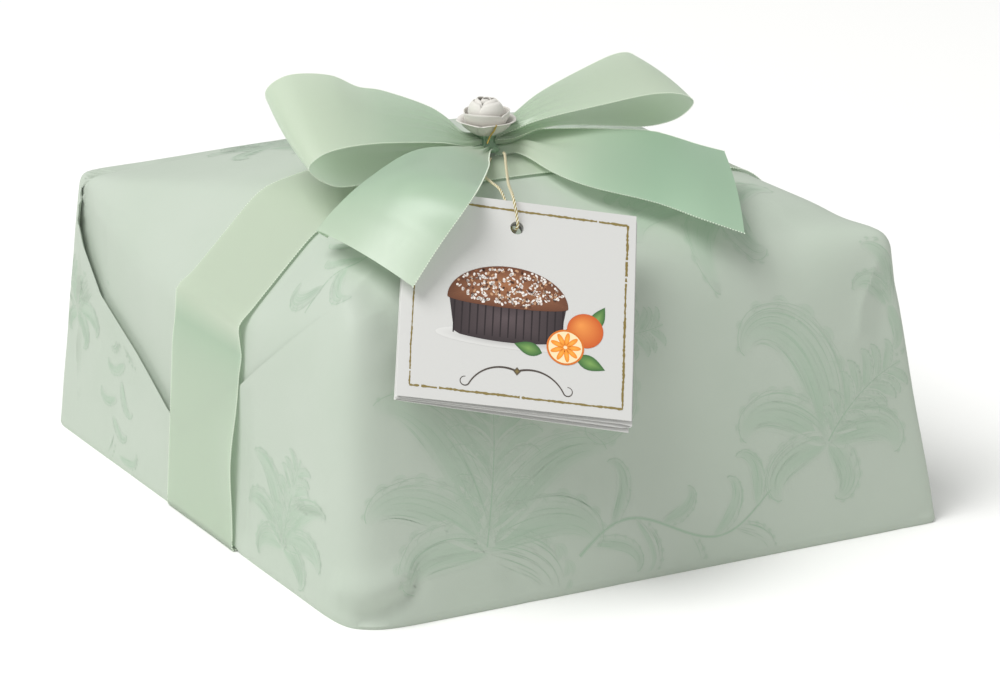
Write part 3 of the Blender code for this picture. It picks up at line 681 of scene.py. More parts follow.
def printed_lines():
    """Node tree for ink: lines of their own half width, laid flat on the paper just above it."""
    tree, given, result = node_tree_with("printed_lines", Paper="Object", Lift="Float", Ink="Material")
    sheet = add_node(tree, "GeometryNodeObjectInfo", transform_space="RELATIVE", Object=given["Paper"])
    line = add_node(tree, "GeometryNodeMeshToCurve", Mesh=given["Geometry"])
    out = add_node(tree, "GeometryNodeInputNormal")
    facing = add_node(tree, "GeometryNodeSampleNearestSurface", data_type="FLOAT_VECTOR",
                      Mesh=sheet.outputs["Geometry"], Value=out)
    touch = add_node(tree, "GeometryNodeProximity", target_element="FACES", s0=sheet.outputs["Geometry"])
    own = add_node(tree, "GeometryNodeInputNamedAttribute", data_type="FLOAT", Name="own_lift")
    height = add_node(tree, "ShaderNodeMath", operation="ADD", s0=given["Lift"], s1=own)
    above = add_node(tree, "ShaderNodeVectorMath", operation="SCALE", Vector=facing, Scale=height)
    place = add_node(tree, "ShaderNodeVectorMath", operation="ADD", s0=touch.outputs["Position"], s1=above)
    laid = add_node(tree, "GeometryNodeSetPosition", Geometry=line, Position=place)
    turned = add_node(tree, "GeometryNodeSetCurveNormal", mode="FREE", Curve=laid, Normal=facing)
    reach = add_node(tree, "GeometryNodeInputNamedAttribute", data_type="FLOAT", Name="reach")
    nib = add_node(tree, "GeometryNodeCurvePrimitiveLine", mode="POINTS", Start=(0.0, -1.0, 0.0),
                   End=(0.0, 1.0, 0.0))
    drawn = add_node(tree, "GeometryNodeCurveToMesh", Curve=turned, Profile_Curve=nib, Scale=reach)
    flat = add_node(tree, "GeometryNodeSetPosition", Geometry=drawn, Position=place)
    return end_tree(tree, flat, result, given["Ink"])


def mark(piece, name, values, kind="FLOAT"):
    """Keeps a number, or a colour, at each point of a piece for its material or its node tree."""
    kept = piece.data.attributes.new(name, kind, "POINT").data
    kept.foreach_set("color" if kind == "FLOAT_COLOR" else "value", np.ravel(values))


def off_paper(p):
    """Distance of points outside the paper with its creases."""
    return outside(p) - paper_height(p)


dice = random.Random(41)
prints = {"soft_tone_print": [], "hatch_print": []}
for motif, size, turn, mirrored, sheet, middle in PRINTS:
    cosine, sine = math.cos(math.radians(turn)), math.sin(math.radians(turn))
    spin = np.array([[cosine, sine], [-sine, cosine]])
    for drawn, kept in zip(motif(size, dice), prints.values()):
        flat = np.concatenate([line for line, _, _ in drawn])
        places = on_sheet(sheet, (flat * [-1.0, 1.0] if mirrored else flat) @ spin + middle)
        clear = (places[:, 2] > 0.003) & (np.abs(places[:, 1] - BAND_MIDDLE) > RIBBON / 2 + 0.001)
        if "end" in sheet:
            # The V's edge cuts the print, and its lifted flap and its pocket stay clear of ink
            clear &= np.abs(places[:, 2] - np.interp(places[:, 1], V_EDGE[:, 0], V_EDGE[:, 1])) > 0.006
        first = 0
        for line, reach, depth in drawn:
            laid = places[first:first + len(line)]
            jump = np.linalg.norm(np.diff(laid, axis=0), axis=1) > 0.008
            if clear[first:first + len(line)].all() and not jump.any():
                kept.append((laid, np.maximum(reach, 0.03) / 1000.0, depth))
            first += len(line)

print_tree = printed_lines()
for (name, lines), lift in zip(prints.items(), (0.00003, 0.000055)):
    laid, reaches, depths = zip(*lines)
    source = add_lines(name + "_lines", laid)
    mark(source, "reach", np.concatenate(reaches))
    mark(source, "tone", np.concatenate(depths))
    # Lines that cross lie at least 2 micrometres apart in most cases, so that neither blots out the other
    own_lifts = 0.000002 * (np.arange(len(laid)) % 12)
    mark(source, "own_lift", np.repeat(own_lifts, [len(line) for line in laid]))
    inked_lines = grow(name, source, print_tree, Paper=wrap, Lift=lift, Ink=paper)
    # Ink has no thickness that shows, so it takes the light just as the paper under it does
    places = np.array([vertex.co for vertex in inked_lines.data.vertices]) + PACK_ORIGIN
    inked_lines.data.normals_split_custom_set_from_vertices(outward_at(places, off_paper))
    ride(inked_lines, "printed_paper")

# Polyester satin ribbon, 63 mm wide, woven with a row of tiny loops along both edges. One length of it runs
# round the pack lengthwise and is pulled tight, so it bridges the paper's hollows.
EDGE_LOOP_PITCH, EDGE_LOOP_SIZE = 0.00125, 0.00034

# Satin shines where its long threads face the light. Where one layer lights the next it looks mint, and that
# mint, with the shade in its folds, loop insides and turned-away parts, is painted into its colour from a
# mark at each point. The threads run lengthwise, 0.1 mm apart in life and drawn 0.4 mm apart here.
satin, shades, shader = finish("polyester_satin", "#D2DCC8", 0.36, Sheen_Weight=0.35, Sheen_Roughness=0.4,
                               Specular_IOR_Level=0.85, Anisotropic=0.45)
# Painted shade: each point's mark mixes the satin towards a darker mint, where it would lie in shade
depth = add_node(shades, "ShaderNodeAttribute", attribute_name="fold_depth")
painted_shade_hue = add_node(shades, "ShaderNodeMix", data_type="RGBA", Factor=depth.outputs["Fac"], s6=linear("#D2DCC8"),
               s7=linear("#9EBFA2"))
shades.links.new(painted_shade_hue.outputs[2], shader.inputs["Base Color"])
cloth = add_node(shades, "ShaderNodeTexCoord")
stretch = add_node(shades, "ShaderNodeMapping", Vector=cloth.outputs["UV"], Scale=(150.0, 6.0, 1.0))
threads = add_node(shades, "ShaderNodeTexNoise", Vector=stretch, Scale=1.0, Detail=2.0)
weave = add_node(shades, "ShaderNodeBump", Strength=0.10, Distance=0.0003, Height=threads.outputs["Fac"])
shades.links.new(weave.outputs[0], shader.inputs["Normal"])
gloss = add_node(shades, "ShaderNodeMapRange", Value=threads.outputs["Fac"], To_Min=0.30, To_Max=0.44)
shades.links.new(gloss.outputs[0], shader.inputs["Roughness"])
# It is thin enough to let a good part of the light through, greener than it went in
through = add_node(shades, "ShaderNodeBsdfTranslucent", Color=linear("#DEF0DC"))
cloth_mix = add_node(shades, "ShaderNodeMixShader", s0=0.38, s1=shader, s2=through)
shades.links.new(cloth_mix.outputs[0], shades.nodes["Material Output"].inputs["Surface"])

# The edge loops are the same yarn, standing a little proud. Their colour is painted lighter than the satin's,
# a painted highlight for the light they catch
edge_yarn_painted_light = finish("satin_edge_yarn", "#E4EEDC", 0.5, Sheen_Weight=0.2)[0]


def woven_edge():
    """Node tree for the small loops along a ribbon's edge."""
    tree, given, result = node_tree_with("woven_edge", Pitch="Float", Size="Float", Finish="Material")
    line = add_node(tree, "GeometryNodeMeshToCurve", Mesh=given["Geometry"])
    even = add_node(tree, "GeometryNodeResampleCurve", mode="LENGTH", Curve=line, Length=given["Pitch"])
    loop = add_node(tree, "GeometryNodeMeshIcoSphere", Radius=given["Size"], Subdivisions=1)
    set_out = add_node(tree, "GeometryNodeInstanceOnPoints", Points=even, Instance=loop)
    return end_tree(tree, set_out, result, given["Finish"])


edge_tree = woven_edge()


def add_satin(name, grid, depths, closed=False):
    """A length of ribbon from a grid of points, rows along it and columns across, and how long it is."""
    rows, columns = grid.shape[:2]
    faces, corners = [], []
    steps = np.linalg.norm(np.diff(grid[:, columns // 2], axis=0), axis=1)
    lengths = np.concatenate([[0.0], np.cumsum(steps)])
    for i in range(rows if closed else rows - 1):
        start, stop = lengths[i] / RIBBON, (lengths[i + 1] if i + 1 < rows else lengths[i] + 0.002) / RIBBON
        for j in range(columns - 1):
            a, b = i * columns + j, ((i + 1) % rows) * columns + j
            faces.append((a, b, b + 1, a + 1))
            left, right = j / (columns - 1), (j + 1) / (columns - 1)
            corners += [(left, start), (left, stop), (right, stop), (right, start)]
    piece = add_piece(name, grid.reshape(-1, 3), faces, satin)
    piece.data.uv_layers.new(name="ribbon").data.foreach_set("uv", np.ravel(corners))
    # Each point keeps the painted shade that its colour is mixed by
    mark(piece, "fold_depth", depths)
    return piece, float(lengths[-1])


def add_edges(name, grid, closed=False):
    """The woven loops along a length of ribbon's two edges."""
    sides = [grid[:, 0], grid[:, -1]]
    if closed:
        sides = [np.concatenate([side, side[:1]]) for side in sides]
    piece = grow(name, add_lines(name + "_line", sides), edge_tree, Pitch=EDGE_LOOP_PITCH,
                 Size=EDGE_LOOP_SIZE, Finish=edge_yarn_painted_light)
    ride(piece, "green_satin")
    return piece


def band_line(y):
    """The ribbon's run round the pack at one place across its width."""
    end_steps, top_steps, floor_steps = 34, 130, 26
    levels = np.linspace(0.004, 0.088, end_steps)
    starts = np.column_stack([np.full(end_steps, HEART[0]), np.full(end_steps, y), levels])
    left = cast(starts, np.tile([-1.0, 0.0, 0.0], (end_steps, 1)))
    right = cast(starts, np.tile([1.0, 0.0, 0.0], (end_steps, 1)))[::-1]
    aims = np.linspace(-0.136, 0.140, top_steps)
    climbs = 0.036 + 0.050 * fade((0.140 - np.abs(aims)) / 0.060)
    ways = unit(np.column_stack([aims, np.zeros(top_steps), climbs]))
    line = np.vstack([left, cast(np.tile([HEART[0], y, 0.060], (top_steps, 1)), ways), right])
    # Pulled tight: wherever the straight way between neighbours lies farther out, the ribbon takes it
    for _ in range(300):
        straight = 0.5 * (line[:-2] + line[2:])
        run, gap = line[2:] - line[:-2], straight - line[1:-1]
        farther = gap[:, 2] * run[:, 0] - gap[:, 0] * run[:, 2] > 0.0
        line[1:-1] = np.where(farther[:, None], straight, line[1:-1])
    ahead = unit(np.gradient(line[:, [0, 2]], axis=0))
    out = np.column_stack([-ahead[:, 1], np.zeros(len(line)), ahead[:, 0]])
    # On the left end it swells at the bend, tucks in below it, and its near edge stands off the paper
    on_left = line[:, 0] < 0.06
    swell = 0.0018 * np.exp(-((line[:, 2] - 0.100) / 0.004) ** 2) * on_left
    tuck = -0.0008 * np.exp(-((line[:, 2] - 0.088) / 0.006) ** 2) * on_left
    free = 0.0024 * math.exp(-((y - 0.104) / 0.012) ** 2)
    stand_off = free * np.exp(-((line[:, 2] - 0.040) / 0.022) ** 2) * on_left
    line = line + out * (0.00135 + swell + tuck + stand_off)[:, None]
    floor = line[-1] + (line[0] - line[-1]) * np.linspace(0.0, 1.0, floor_steps)[:, None]
    floor[:, 2] = 0.0008
    return np.vstack([line, floor])


band_places = np.linspace(BAND_MIDDLE - RIBBON / 2, BAND_MIDDLE + RIBBON / 2, 25)
band_grid = np.stack([band_line(y) for y in band_places], axis=1)
# Painted shade on the ribbon down the left end: deepest just under the bend, where it curves in, and a
# quarter of that further down the wall
below_bend = 0.098 - band_grid[..., 2]
painted_bend_shade = fade(below_bend / 0.003) * (0.25 + 0.75 * np.exp(-np.maximum(below_bend, 0.0) / 0.014))
painted_bend_shade *= band_grid[..., 0] < 0.06
band, band_length = add_satin("satin_band", band_grid, painted_bend_shade, closed=True)
ride(band, "green_satin", "ribbon_band")
band_edges = add_edges("band_edge_loops", band_grid, closed=True)

# The bow: two loops and two tails of the same ribbon, gathered in fine pleats where the wire ties them. Each
# is given by pairs of points in mm, on its near and its far edge.
LOOP_LEFT = [
    ((119.0, 130.5, 156.5), (119.0, 137.0, 157.5)), ((110.5, 127.0, 155.5), (112.0, 139.5, 157.0)),
    ((96.0, 122.0, 154.5), (101.0, 152.0, 159.0)), ((71.0, 115.0, 153.5), (79.0, 164.0, 161.0)),
    ((45.0, 108.0, 154.5), (54.0, 168.0, 164.0)), ((33.5, 106.0, 159.0), (38.0, 167.0, 174.0)),
    ((28.0, 106.0, 165.0), (33.0, 166.0, 184.0)), ((33.0, 104.0, 170.5), (43.0, 164.0, 190.5)),
    ((44.0, 106.0, 172.0), (62.0, 164.0, 188.5)), ((58.5, 109.5, 171.2), (76.0, 165.5, 181.5)),
    ((73.0, 114.0, 169.0), (89.0, 166.0, 178.0)), ((96.0, 122.0, 164.5), (108.0, 154.0, 170.5)),
    ((111.0, 127.5, 160.5), (113.0, 139.5, 163.0)), ((119.5, 130.5, 160.0), (119.0, 136.5, 161.5)),
]
LOOP_RIGHT = [
    ((126.5, 130.5, 159.0), (126.5, 136.5, 159.5)), ((133.5, 127.0, 160.0), (133.0, 140.0, 160.5)),
    ((146.0, 125.0, 164.0), (144.0, 147.0, 162.0)), ((159.0, 122.0, 165.0), (160.0, 156.0, 163.0)),
    ((180.0, 116.0, 163.6), (185.0, 166.0, 164.0)), ((193.0, 112.0, 163.0), (200.0, 170.0, 164.8)),
    ((205.0, 108.5, 166.0), (210.5, 169.5, 168.5)), ((211.5, 106.0, 172.8), (216.5, 168.0, 176.5)),
    ((205.0, 105.5, 177.5), (213.0, 166.0, 181.8)), ((190.0, 106.0, 179.0), (205.0, 165.0, 183.2)),
    ((167.0, 110.0, 175.7), (190.0, 161.0, 180.8)), ((145.0, 120.0, 170.2), (160.0, 156.0, 171.5)),
    ((135.0, 127.0, 165.6), (135.5, 139.5, 165.2)), ((126.5, 130.5, 162.0), (126.5, 136.5, 162.0)),
]
TAIL_LEFT = [
    ((124.0, 129.0, 156.5), (118.5, 130.0, 157.5)), ((120.5, 124.0, 157.0), (111.5, 124.5, 159.0)),
    ((113.2, 110.0, 158.0), (96.5, 116.9, 163.6)), ((102.2, 88.0, 160.5), (74.5, 105.5, 166.9)),
    ((72.2, 38.6, 165.1), (45.3, 84.5, 163.9)), ((52.9, 29.8, 149.5), (29.8, 80.2, 155.2)),
    ((38.7, 25.0, 135.1), (20.5, 80.4, 146.1)),
]
TAIL_RIGHT = [
    ((125.5, 130.0, 155.5), (126.5, 136.5, 156.0)), ((132.5, 125.5, 156.8), (135.0, 140.0, 156.0)),
    ((134.5, 117.0, 156.2), (145.5, 142.0, 158.2)), ((136.0, 94.0, 153.5), (160.0, 129.0, 161.2)),
    ((142.0, 71.0, 152.0), (174.5, 113.0, 163.3)), ((162.0, 50.0, 148.0), (191.0, 104.0, 162.5)),
    ((174.0, 33.0, 144.0), (204.0, 87.0, 159.2)), ((190.0, 23.0, 138.0), (212.0, 79.0, 157.3)),
]
KNOT = np.array([0.1225, 0.1335, 0.1580])


def gathered_strip(sections, steps, crown, pleat, turned=False, columns=41):
    """A grid between two edge lines, crowned across its width and pleated towards the knot.

    Where it is turned, the width that its far edge hasn't room for rolls under and runs back below.
    """
    near = smooth_through([np.array(s[0]) / 1000.0 for s in sections], steps)
    far = smooth_through([np.array(s[1]) / 1000.0 for s in sections], steps)
    share = np.linspace(0.0, 1.0, columns)
    grid = near[:, None] * (1.0 - share)[None, :, None] + far[:, None] * share[None, :, None]
    normal = unit(np.cross(np.gradient(grid, axis=1), np.gradient(grid, axis=0)))
    chord = np.linalg.norm(far - near, axis=1)
    rise = crown * (chord / RIBBON)[:, None] * 4.0 * (share * (1.0 - share))[None, :]
    away = np.linalg.norm(grid - KNOT, axis=2)
    depth, folds, phase = pleat
    waves = np.cos(math.tau * folds * share + phase)
    waves = waves + 0.45 * np.cos(math.tau * folds * 2.3 * share + 2.0 * phase)
    rise = rise + depth * waves[None, :] * np.exp(-(away / 0.022) ** 1.5) * fade(away / 0.006)
    grid = grid + normal * rise[..., None]
    if turned:
        rim, below = grid[:, -1], -np.sign(crown) * normal[:, -1]
        outward = unit(grid[:, -1] - grid[:, -3])
        spare = np.clip(RIBBON - chord, 0.0, 0.30 * chord)
        roll = np.minimum(0.0022, 0.09 * chord)
        rows = []
        for turn in np.linspace(0.0, math.pi, 8)[1:]:
            rows.append(rim + (outward * math.sin(turn) + below * (1.0 - math.cos(turn))) * roll[:, None])
        for back in np.linspace(0.0, 1.0, 9)[1:]:
            sag = roll * 0.5 * back ** 2
            rows.append(rows[6] - outward * (spare * back)[:, None] + below * sag[:, None])
        grid = np.concatenate([grid, np.stack(rows, axis=1)], axis=1)
    return grid


def painted_shade_along(rows, columns, values):
    """Painted shade that changes along a strip, from a few values spread evenly over its length."""
    along = np.interp(np.linspace(0, 1, rows), np.linspace(0, 1, len(values)), values)
    return np.repeat(along[:, None], columns, axis=1)


# The last values of each piece are its painted shade from the knot outwards: darker mint where it lies in
# shade, in the loops' insides, in the folds by the knot and where the tails turn from the light
BOW = [
    ("satin_loop_left", "bow_loop_left", LOOP_LEFT, 8, -0.0015, (0.0014, 5, 0.6), False, "folded",
     (0.2, 0.25, 0.25, 0.25, 0.3, 0.2, 0.0, 0.0, 0.15, 0.45, 0.6, 0.4, 0.2)),
    ("satin_loop_right", "bow_loop_right", LOOP_RIGHT, 8, 0.0015, (0.0016, 5, 2.1), False, "folded",
     (0.2, 0.25, 0.25, 0.25, 0.25, 0.25, 0.25, 0.15, 0.0, 0.0, 0.1, 0.3, 0.4, 0.3)),
    ("satin_tail_left", "bow_tail_left", TAIL_LEFT, 12, 0.0070, (0.0009, 3, 1.2), True, "hung",
     (0.5, 0.3, 0.2, 0.8, 0.8, 0.5, 0.35)),
    ("satin_tail_right", "bow_tail_right", TAIL_RIGHT, 11, -0.0030, (0.0022, 1.5, 0.0), False, "hung",
     (0.6, 0.1, 0.0, 0.2, 0.7, 1.0, 1.0, 1.0)),
]
for name, node, sections, steps, crown, pleat, turned, held, values in BOW:
    grid = gathered_strip(sections, steps, crown, pleat, turned)
    piece, length = add_satin(name, grid, painted_shade_along(*grid.shape[:2], values))
    ride(piece, "green_satin", node)
    edges = add_edges(name + "_edge_loops", grid)

# The knot is the ribbon itself, pulled into a narrow neck of upright pleats by the wire. Its outline is
# given as radius and height in mm.
NECK = [(0.0, 0.2), (5.2, 0.6), (6.4, 2.0), (4.7, 3.4), (3.6, 4.8), (3.5, 6.6), (4.4, 8.2), (3.4, 9.2),
        (0.0, 9.4)]
NECK_FOOT = 0.1542


def grid_faces(rows, columns, first=0, closed=False):
    """Faces between rows of points. Where it is closed, each row's last point is joined to its first."""
    faces = []
    for i in range(rows - 1):
        for j in range(columns if closed else columns - 1):
            a, b = first + i * columns + j, first + i * columns + (j + 1) % columns
            faces.append((a, b, b + columns, a + columns))
    return faces


profile = smooth_through([(r, 0.0, h) for r, h in NECK], 5)[:, [0, 2]] / 1000.0
turns = np.linspace(0.0, math.tau, 97)[:-1]
pleats = 1.0 + 0.13 * np.cos(15 * turns) + 0.05 * np.cos(4 * turns + 1.0)
neck = np.array([[(KNOT[0] + r * w * math.cos(a), KNOT[1] + r * w * math.sin(a), NECK_FOOT + h)
                  for a, w in zip(turns, pleats)] for r, h in np.maximum(profile, [0.00002, -1.0])])
rows, count = neck.shape[:2]
faces = grid_faces(rows, count, closed=True)
faces += [tuple(range(count))[::-1], tuple(range((rows - 1) * count, rows * count))]
knot = add_piece("gathered_knot", neck.reshape(-1, 3), faces, satin)
# The whole neck is painted in deep mint shade, for the shade between its pleats
mark(knot, "fold_depth", np.full(rows * count, 0.9))
ride(knot, "green_satin", "bow_knot")

# Thin gold wire, twisted from thinner strands, that ties the rose to the knot
gold = finish("brass_florist_wire", "#D9B766", 0.28, Metallic=1.0)[0]
wire_line = smooth_through([(0.1214, 0.1196, 0.1696), (0.1211, 0.1217, 0.1665), (0.1208, 0.1243, 0.1640),
                            (0.1196, 0.1252, 0.1604)], 10)
wire = grow("twisted_gold_wire", add_lines("wire_line", [wire_line]), yarn_tree, Thickness=0.0008,
            Pitch=0.0022, Step=0.0002, Finish=gold)
ride(wire, "gold_wire", "tie_wire")

# The rose is made of white fabric petals, pressed to shape and glued one over the other round a bud. The
# outer ones open and roll their rims outwards. The cloth has a fine crepe, about 1 mm apart.
petal_cloth, shades, shader = finish("white_fabric_petal", "#DCD9D2", 0.6, Sheen_Weight=0.25,
                                     Specular_IOR_Level=0.3)
add_grain(shades, shader, (900.0, 0.12, 0.0002))

ROSE = np.array([0.1226, 0.1325, 0.1625])
# Each whorl: petals, first angle, foot radius, widest radius, foot height, rim height, half spread, roll
# (mm, rad), and the share of its radius by which it closes in at the rim
WHORLS = [(4, 0.2, 4.6, 12.2, 0.2, 8.0, 1.05, 1.4, 0.0), (3, 1.9, 4.4, 10.6, 0.8, 11.6, 1.35, 0.7, 0.10),
          (3, 0.8, 4.0, 9.6, 1.6, 15.6, 1.40, 0.2, 0.42), (2, 2.4, 3.0, 7.6, 4.0, 16.4, 1.90, 0.0, 0.50),
          (2, 0.9, 1.4, 4.0, 6.0, 16.3, 1.70, 0.0, 0.45)]
PETAL_ROWS, PETAL_COLUMNS = 13, 19
dice = random.Random(7)
points, faces = [], []
for petals, turn, foot_r, rim_r, foot_h, rim_h, spread, roll, closing in WHORLS:
    for n in range(petals):
        middle = turn + n * math.tau / petals + dice.uniform(-0.08, 0.08)
        waves, grow_by = dice.uniform(0.0, 6.0), dice.uniform(0.94, 1.05)
        first = len(points)
        # b runs up the petal and a across it
        for b in np.linspace(0.0, 1.0, PETAL_ROWS):
            for a in np.linspace(-1.0, 1.0, PETAL_COLUMNS):
                curl = max(0.0, b - 0.72) / 0.28
                reach = foot_r + (rim_r - foot_r) * math.sin(b * math.pi / 2) * grow_by + roll * curl ** 2
                reach += 0.22 * math.sin(3.5 * a + waves) * b ** 3 - 0.5 * abs(a) ** 3 * b * (petals > 2)
                reach *= 1.0 - closing * b ** 4
                rise = foot_h + (rim_h - foot_h) * b ** 1.15 - roll * 0.9 * curl ** 2
                rise -= 0.8 * abs(a) ** 2.5 * b
                angle = middle + a * spread * (0.55 + 0.45 * math.sin(math.pi * min(1.0, 0.15 + 0.75 * b)))
                spot = np.array([reach * math.cos(angle), reach * math.sin(angle), rise])
                points.append(ROSE + spot / 1000.0)
        faces += grid_faces(PETAL_ROWS, PETAL_COLUMNS, first)
rose = add_piece("fabric_rose", points, faces, petal_cloth)
wall = rose.modifiers.new("petal_thickness", "SOLIDIFY")
wall.thickness = 0.00035
ride(rose, "white_petals", "rose")

# The gift tag is a strip of white card folded to and fro into four leaves. The folds aren't quite square, so
# the leaves fan out a little below, and they have one punched hole through them all.
LEAVES, LEAF_PITCH, CARD = 4, 0.0014, 0.00042
TAG_COLUMNS, TAG_ROWS, FOLD_STEPS = 26, 15, 7
# How much lower each leaf hangs than the one in front of it: SLIP all over, and FAN more at its right side
FAN, SLIP = 0.00105, 0.00015
card, shades, shader = finish("uncoated_white_card", "#D3D3D0", 0.55, Specular_IOR_Level=0.35)
add_grain(shades, shader, (1400.0, 0.06, 0.0002))

half = TAG_WIDTH / 2
run = []
for leaf in range(LEAVES):
    sides = np.linspace(half, -half, TAG_COLUMNS)
    if leaf % 2:
        sides = np.linspace(-half, half, TAG_COLUMNS)
    # The folds take the place of a leaf's ends, except at the strip's own two free edges
    for right in sides[(1 if leaf else 0):(-1 if leaf + 1 < LEAVES else None)]:
        belly = 0.0004 * math.sin(math.pi * (right + half) / TAG_WIDTH) * (-1) ** leaf * (leaf > 0)
        drop = FAN * leaf * (right + half) / TAG_WIDTH + SLIP * leaf
        run.append((right, -CARD / 2 - leaf * LEAF_PITCH + belly, drop))
    if leaf + 1 < LEAVES:
        edge = sides[-1]
        for turn in np.linspace(-0.45 * math.pi, 0.45 * math.pi, FOLD_STEPS):
            right = edge + math.copysign(0.0006 * math.cos(turn) - 0.0006, edge)
            out = -CARD / 2 - LEAF_PITCH * (leaf + 0.5) - LEAF_PITCH * 0.5 * math.sin(turn)
            run.append((right, out, (FAN * (edge > 0) + SLIP) * (leaf + 0.5)))
ups = np.linspace(-TAG_HEIGHT / 2, TAG_HEIGHT / 2, TAG_ROWS)
tag_points = [on_tag(right, up - drop, out) for right, out, drop in run for up in ups]
faces = [(a, d, c, b) for a, b, c, d in grid_faces(len(run), TAG_ROWS)]
tag = add_piece("folded_gift_tag", tag_points, faces, card)
wall = tag.modifiers.new("card_thickness", "SOLIDIFY")
wall.thickness = CARD
wall.offset = 0.0
bpy.ops.mesh.primitive_cylinder_add(vertices=48, radius=HOLE_RADIUS, depth=0.03,
                                    location=on_tag(HOLE_RIGHT, HOLE_UP, -TAG_STACK / 2) - PACK_ORIGIN,
                                    rotation=Vector(tag_out).to_track_quat("Z", "Y").to_euler())
punch = bpy.context.object
hole = tag.modifiers.new("punched_hole", "BOOLEAN")
hole.object = punch
bpy.context.view_layer.update()
tag.data = bpy.data.meshes.new_from_object(tag.evaluated_get(bpy.context.evaluated_depsgraph_get()))
tag.modifiers.clear()
bpy.data.objects.remove(punch)
tag.data.set_sharp_from_angle(angle=math.radians(40.0))
ride(tag, "printed_card", "gift_tag")

# The print on the tag's face: a brushed border, and a small still life of a domed loaf with oranges and
# leaves. Each shape is a thin fan of ink, and the shapes are laid over each other in layers.
ink, shades, shader = finish("tag_ink", "#FFFFFF", 0.5, Specular_IOR_Level=0.35)
dyes = add_node(shades, "ShaderNodeAttribute", attribute_name="ink")
shades.links.new(dyes.outputs["Color"], shader.inputs["Base Color"])
print_points, print_faces, print_dyes = [], [], []


def print_fan(outline, heart, rim_colour, heart_colour, layer=0):
    """A printed shape in mm on the tag, its colour running from its heart to its rim."""
    first = len(print_points)
    for right, up in [heart] + list(outline):
        print_points.append(on_tag(right / 1000.0, up / 1000.0, 0.00006 + 0.00002 * layer))
    print_dyes.extend([linear(heart_colour)] + [linear(rim_colour)] * len(outline))
    count = len(outline)
    print_faces.extend([(first, first + 1 + i, first + 1 + (i + 1) % count) for i in range(count)])


def oval(right, up, wide, high, count=40, turn=0.0, start=0.0, stop=math.tau):
    """Points round an oval, or round a part of it."""
    spots, cosine, sine = [], math.cos(turn), math.sin(turn)
    for angle in np.linspace(start, stop, count, endpoint=stop - start < math.tau - 0.01):
        a, b = wide * math.cos(angle), high * math.sin(angle)
        spots.append((right + a * cosine - b * sine, up + a * sine + b * cosine))
    return spots


def brush_line(start, stop, dice, colour, thick=0.55):
    """A dry brush stroke between two points, uneven in width, with breaks."""
    start, stop = np.array(start, float), np.array(stop, float)
    ahead = (stop - start) / np.linalg.norm(stop - start)
    side = np.array([-ahead[1], ahead[0]])
    count = int(np.linalg.norm(stop - start) / 0.8)
    wander, upper, lower = 0.0, [], []
    for i in range(count + 1):
        place = start + (stop - start) * i / count
        wander = 0.85 * wander + dice.uniform(-0.06, 0.06)
        width = thick * dice.uniform(0.55, 1.25)
        upper.append(place + side * (wander + width))
        lower.append(place + side * (wander - width * dice.uniform(0.5, 1.0)))
    for i in range(count):
        if dice.random() > 0.03:
            quad = [upper[i], upper[i + 1], lower[i + 1], lower[i]]
            print_fan(quad, tuple(np.mean(quad, axis=0)), colour, colour)


def printed_leaf(root, turn, length, layer):
    """A printed leaf: a dark rim and a lighter middle."""
    spots = []
    for share, side in [(s, 1) for s in np.linspace(0, 1, 9)] + [(s, -1) for s in np.linspace(1, 0, 9)[1:-1]]:
        bulge = 0.24 * length * math.sin(math.pi * share ** 0.8) * side
        spots.append((root[0] + share * length * math.cos(turn) - bulge * math.sin(turn),
                      root[1] + share * length * math.sin(turn) + bulge * math.cos(turn)))
    heart = (root[0] + 0.5 * length * math.cos(turn), root[1] + 0.5 * length * math.sin(turn))
    print_fan(spots, heart, "#3F6B3C", "#7FA65C", layer)


dice = random.Random(23)
brush_line((-43.6, 40.9), (44.0, 39.8), dice, "#8A7A48")
brush_line((44.1, 40.0), (43.8, -39.8), dice, "#86753F")
brush_line((-43.4, -39.6), (44.0, -40.2), dice, "#8A7A48")
brush_line((-43.7, 40.4), (-43.5, -39.4), dice, "#86753F", 0.35)
# Cast shade, dark pleated paper case, crust, and the sugar and almonds on it
print_fan(oval(-3, -15.6, 31, 4.2), (-3, -15.6), "#DDDDDA", "#A5A3A2")
case_foot = [(x, -17.2 + 0.004 * (x + 5) ** 2) for x in range(-24, 16, 3)]
case = [(-29, 0.5), (-26.5, -14.5)] + case_foot + [(17, -14.5), (19.5, 0.5)]
print_fan(case, (-5, -7), "#3A3234", "#5C5052", 1)
for n in range(15):
    x = -27.0 + n * 3.2
    pleat = [(x, 0.2), (x + 0.7, 0.2), (x + 0.5, -15.2), (x, -15.2)]
    print_fan(pleat, (x + 0.3, -7), "#2C2527", "#2C2527", 2)
crust = oval(-4.8, 0.0, 25.0, 15.5, 40, 0.0, 0.0, math.pi)
crust += oval(-4.8, 0.0, 25.0, 2.4, 20, 0.0, math.pi, math.tau)
print_fan(crust, (-7, 8), "#6B4330", "#A36E4B", 3)
for _ in range(420):
    angle, far = dice.uniform(0.0, math.tau), math.sqrt(dice.random())
    right, up = -4.8 + 23.5 * far * math.cos(angle), 6.4 + 8.2 * far * math.sin(angle)
    if ((right + 4.8) / 24.5) ** 2 + (up / 15.0) ** 2 > 1.0 or up < -1.5:
        continue
    colour = dice.choice(["#EFEAE4", "#EFEAE4", "#DCD2CC", "#8C5A3E", "#5F3D2E", "#C39A78"])
    crumb = oval(right, up, dice.uniform(0.5, 0.95), dice.uniform(0.35, 0.6), 6, dice.uniform(0, 3))
    print_fan(crumb, (right, up), colour, colour, 4)
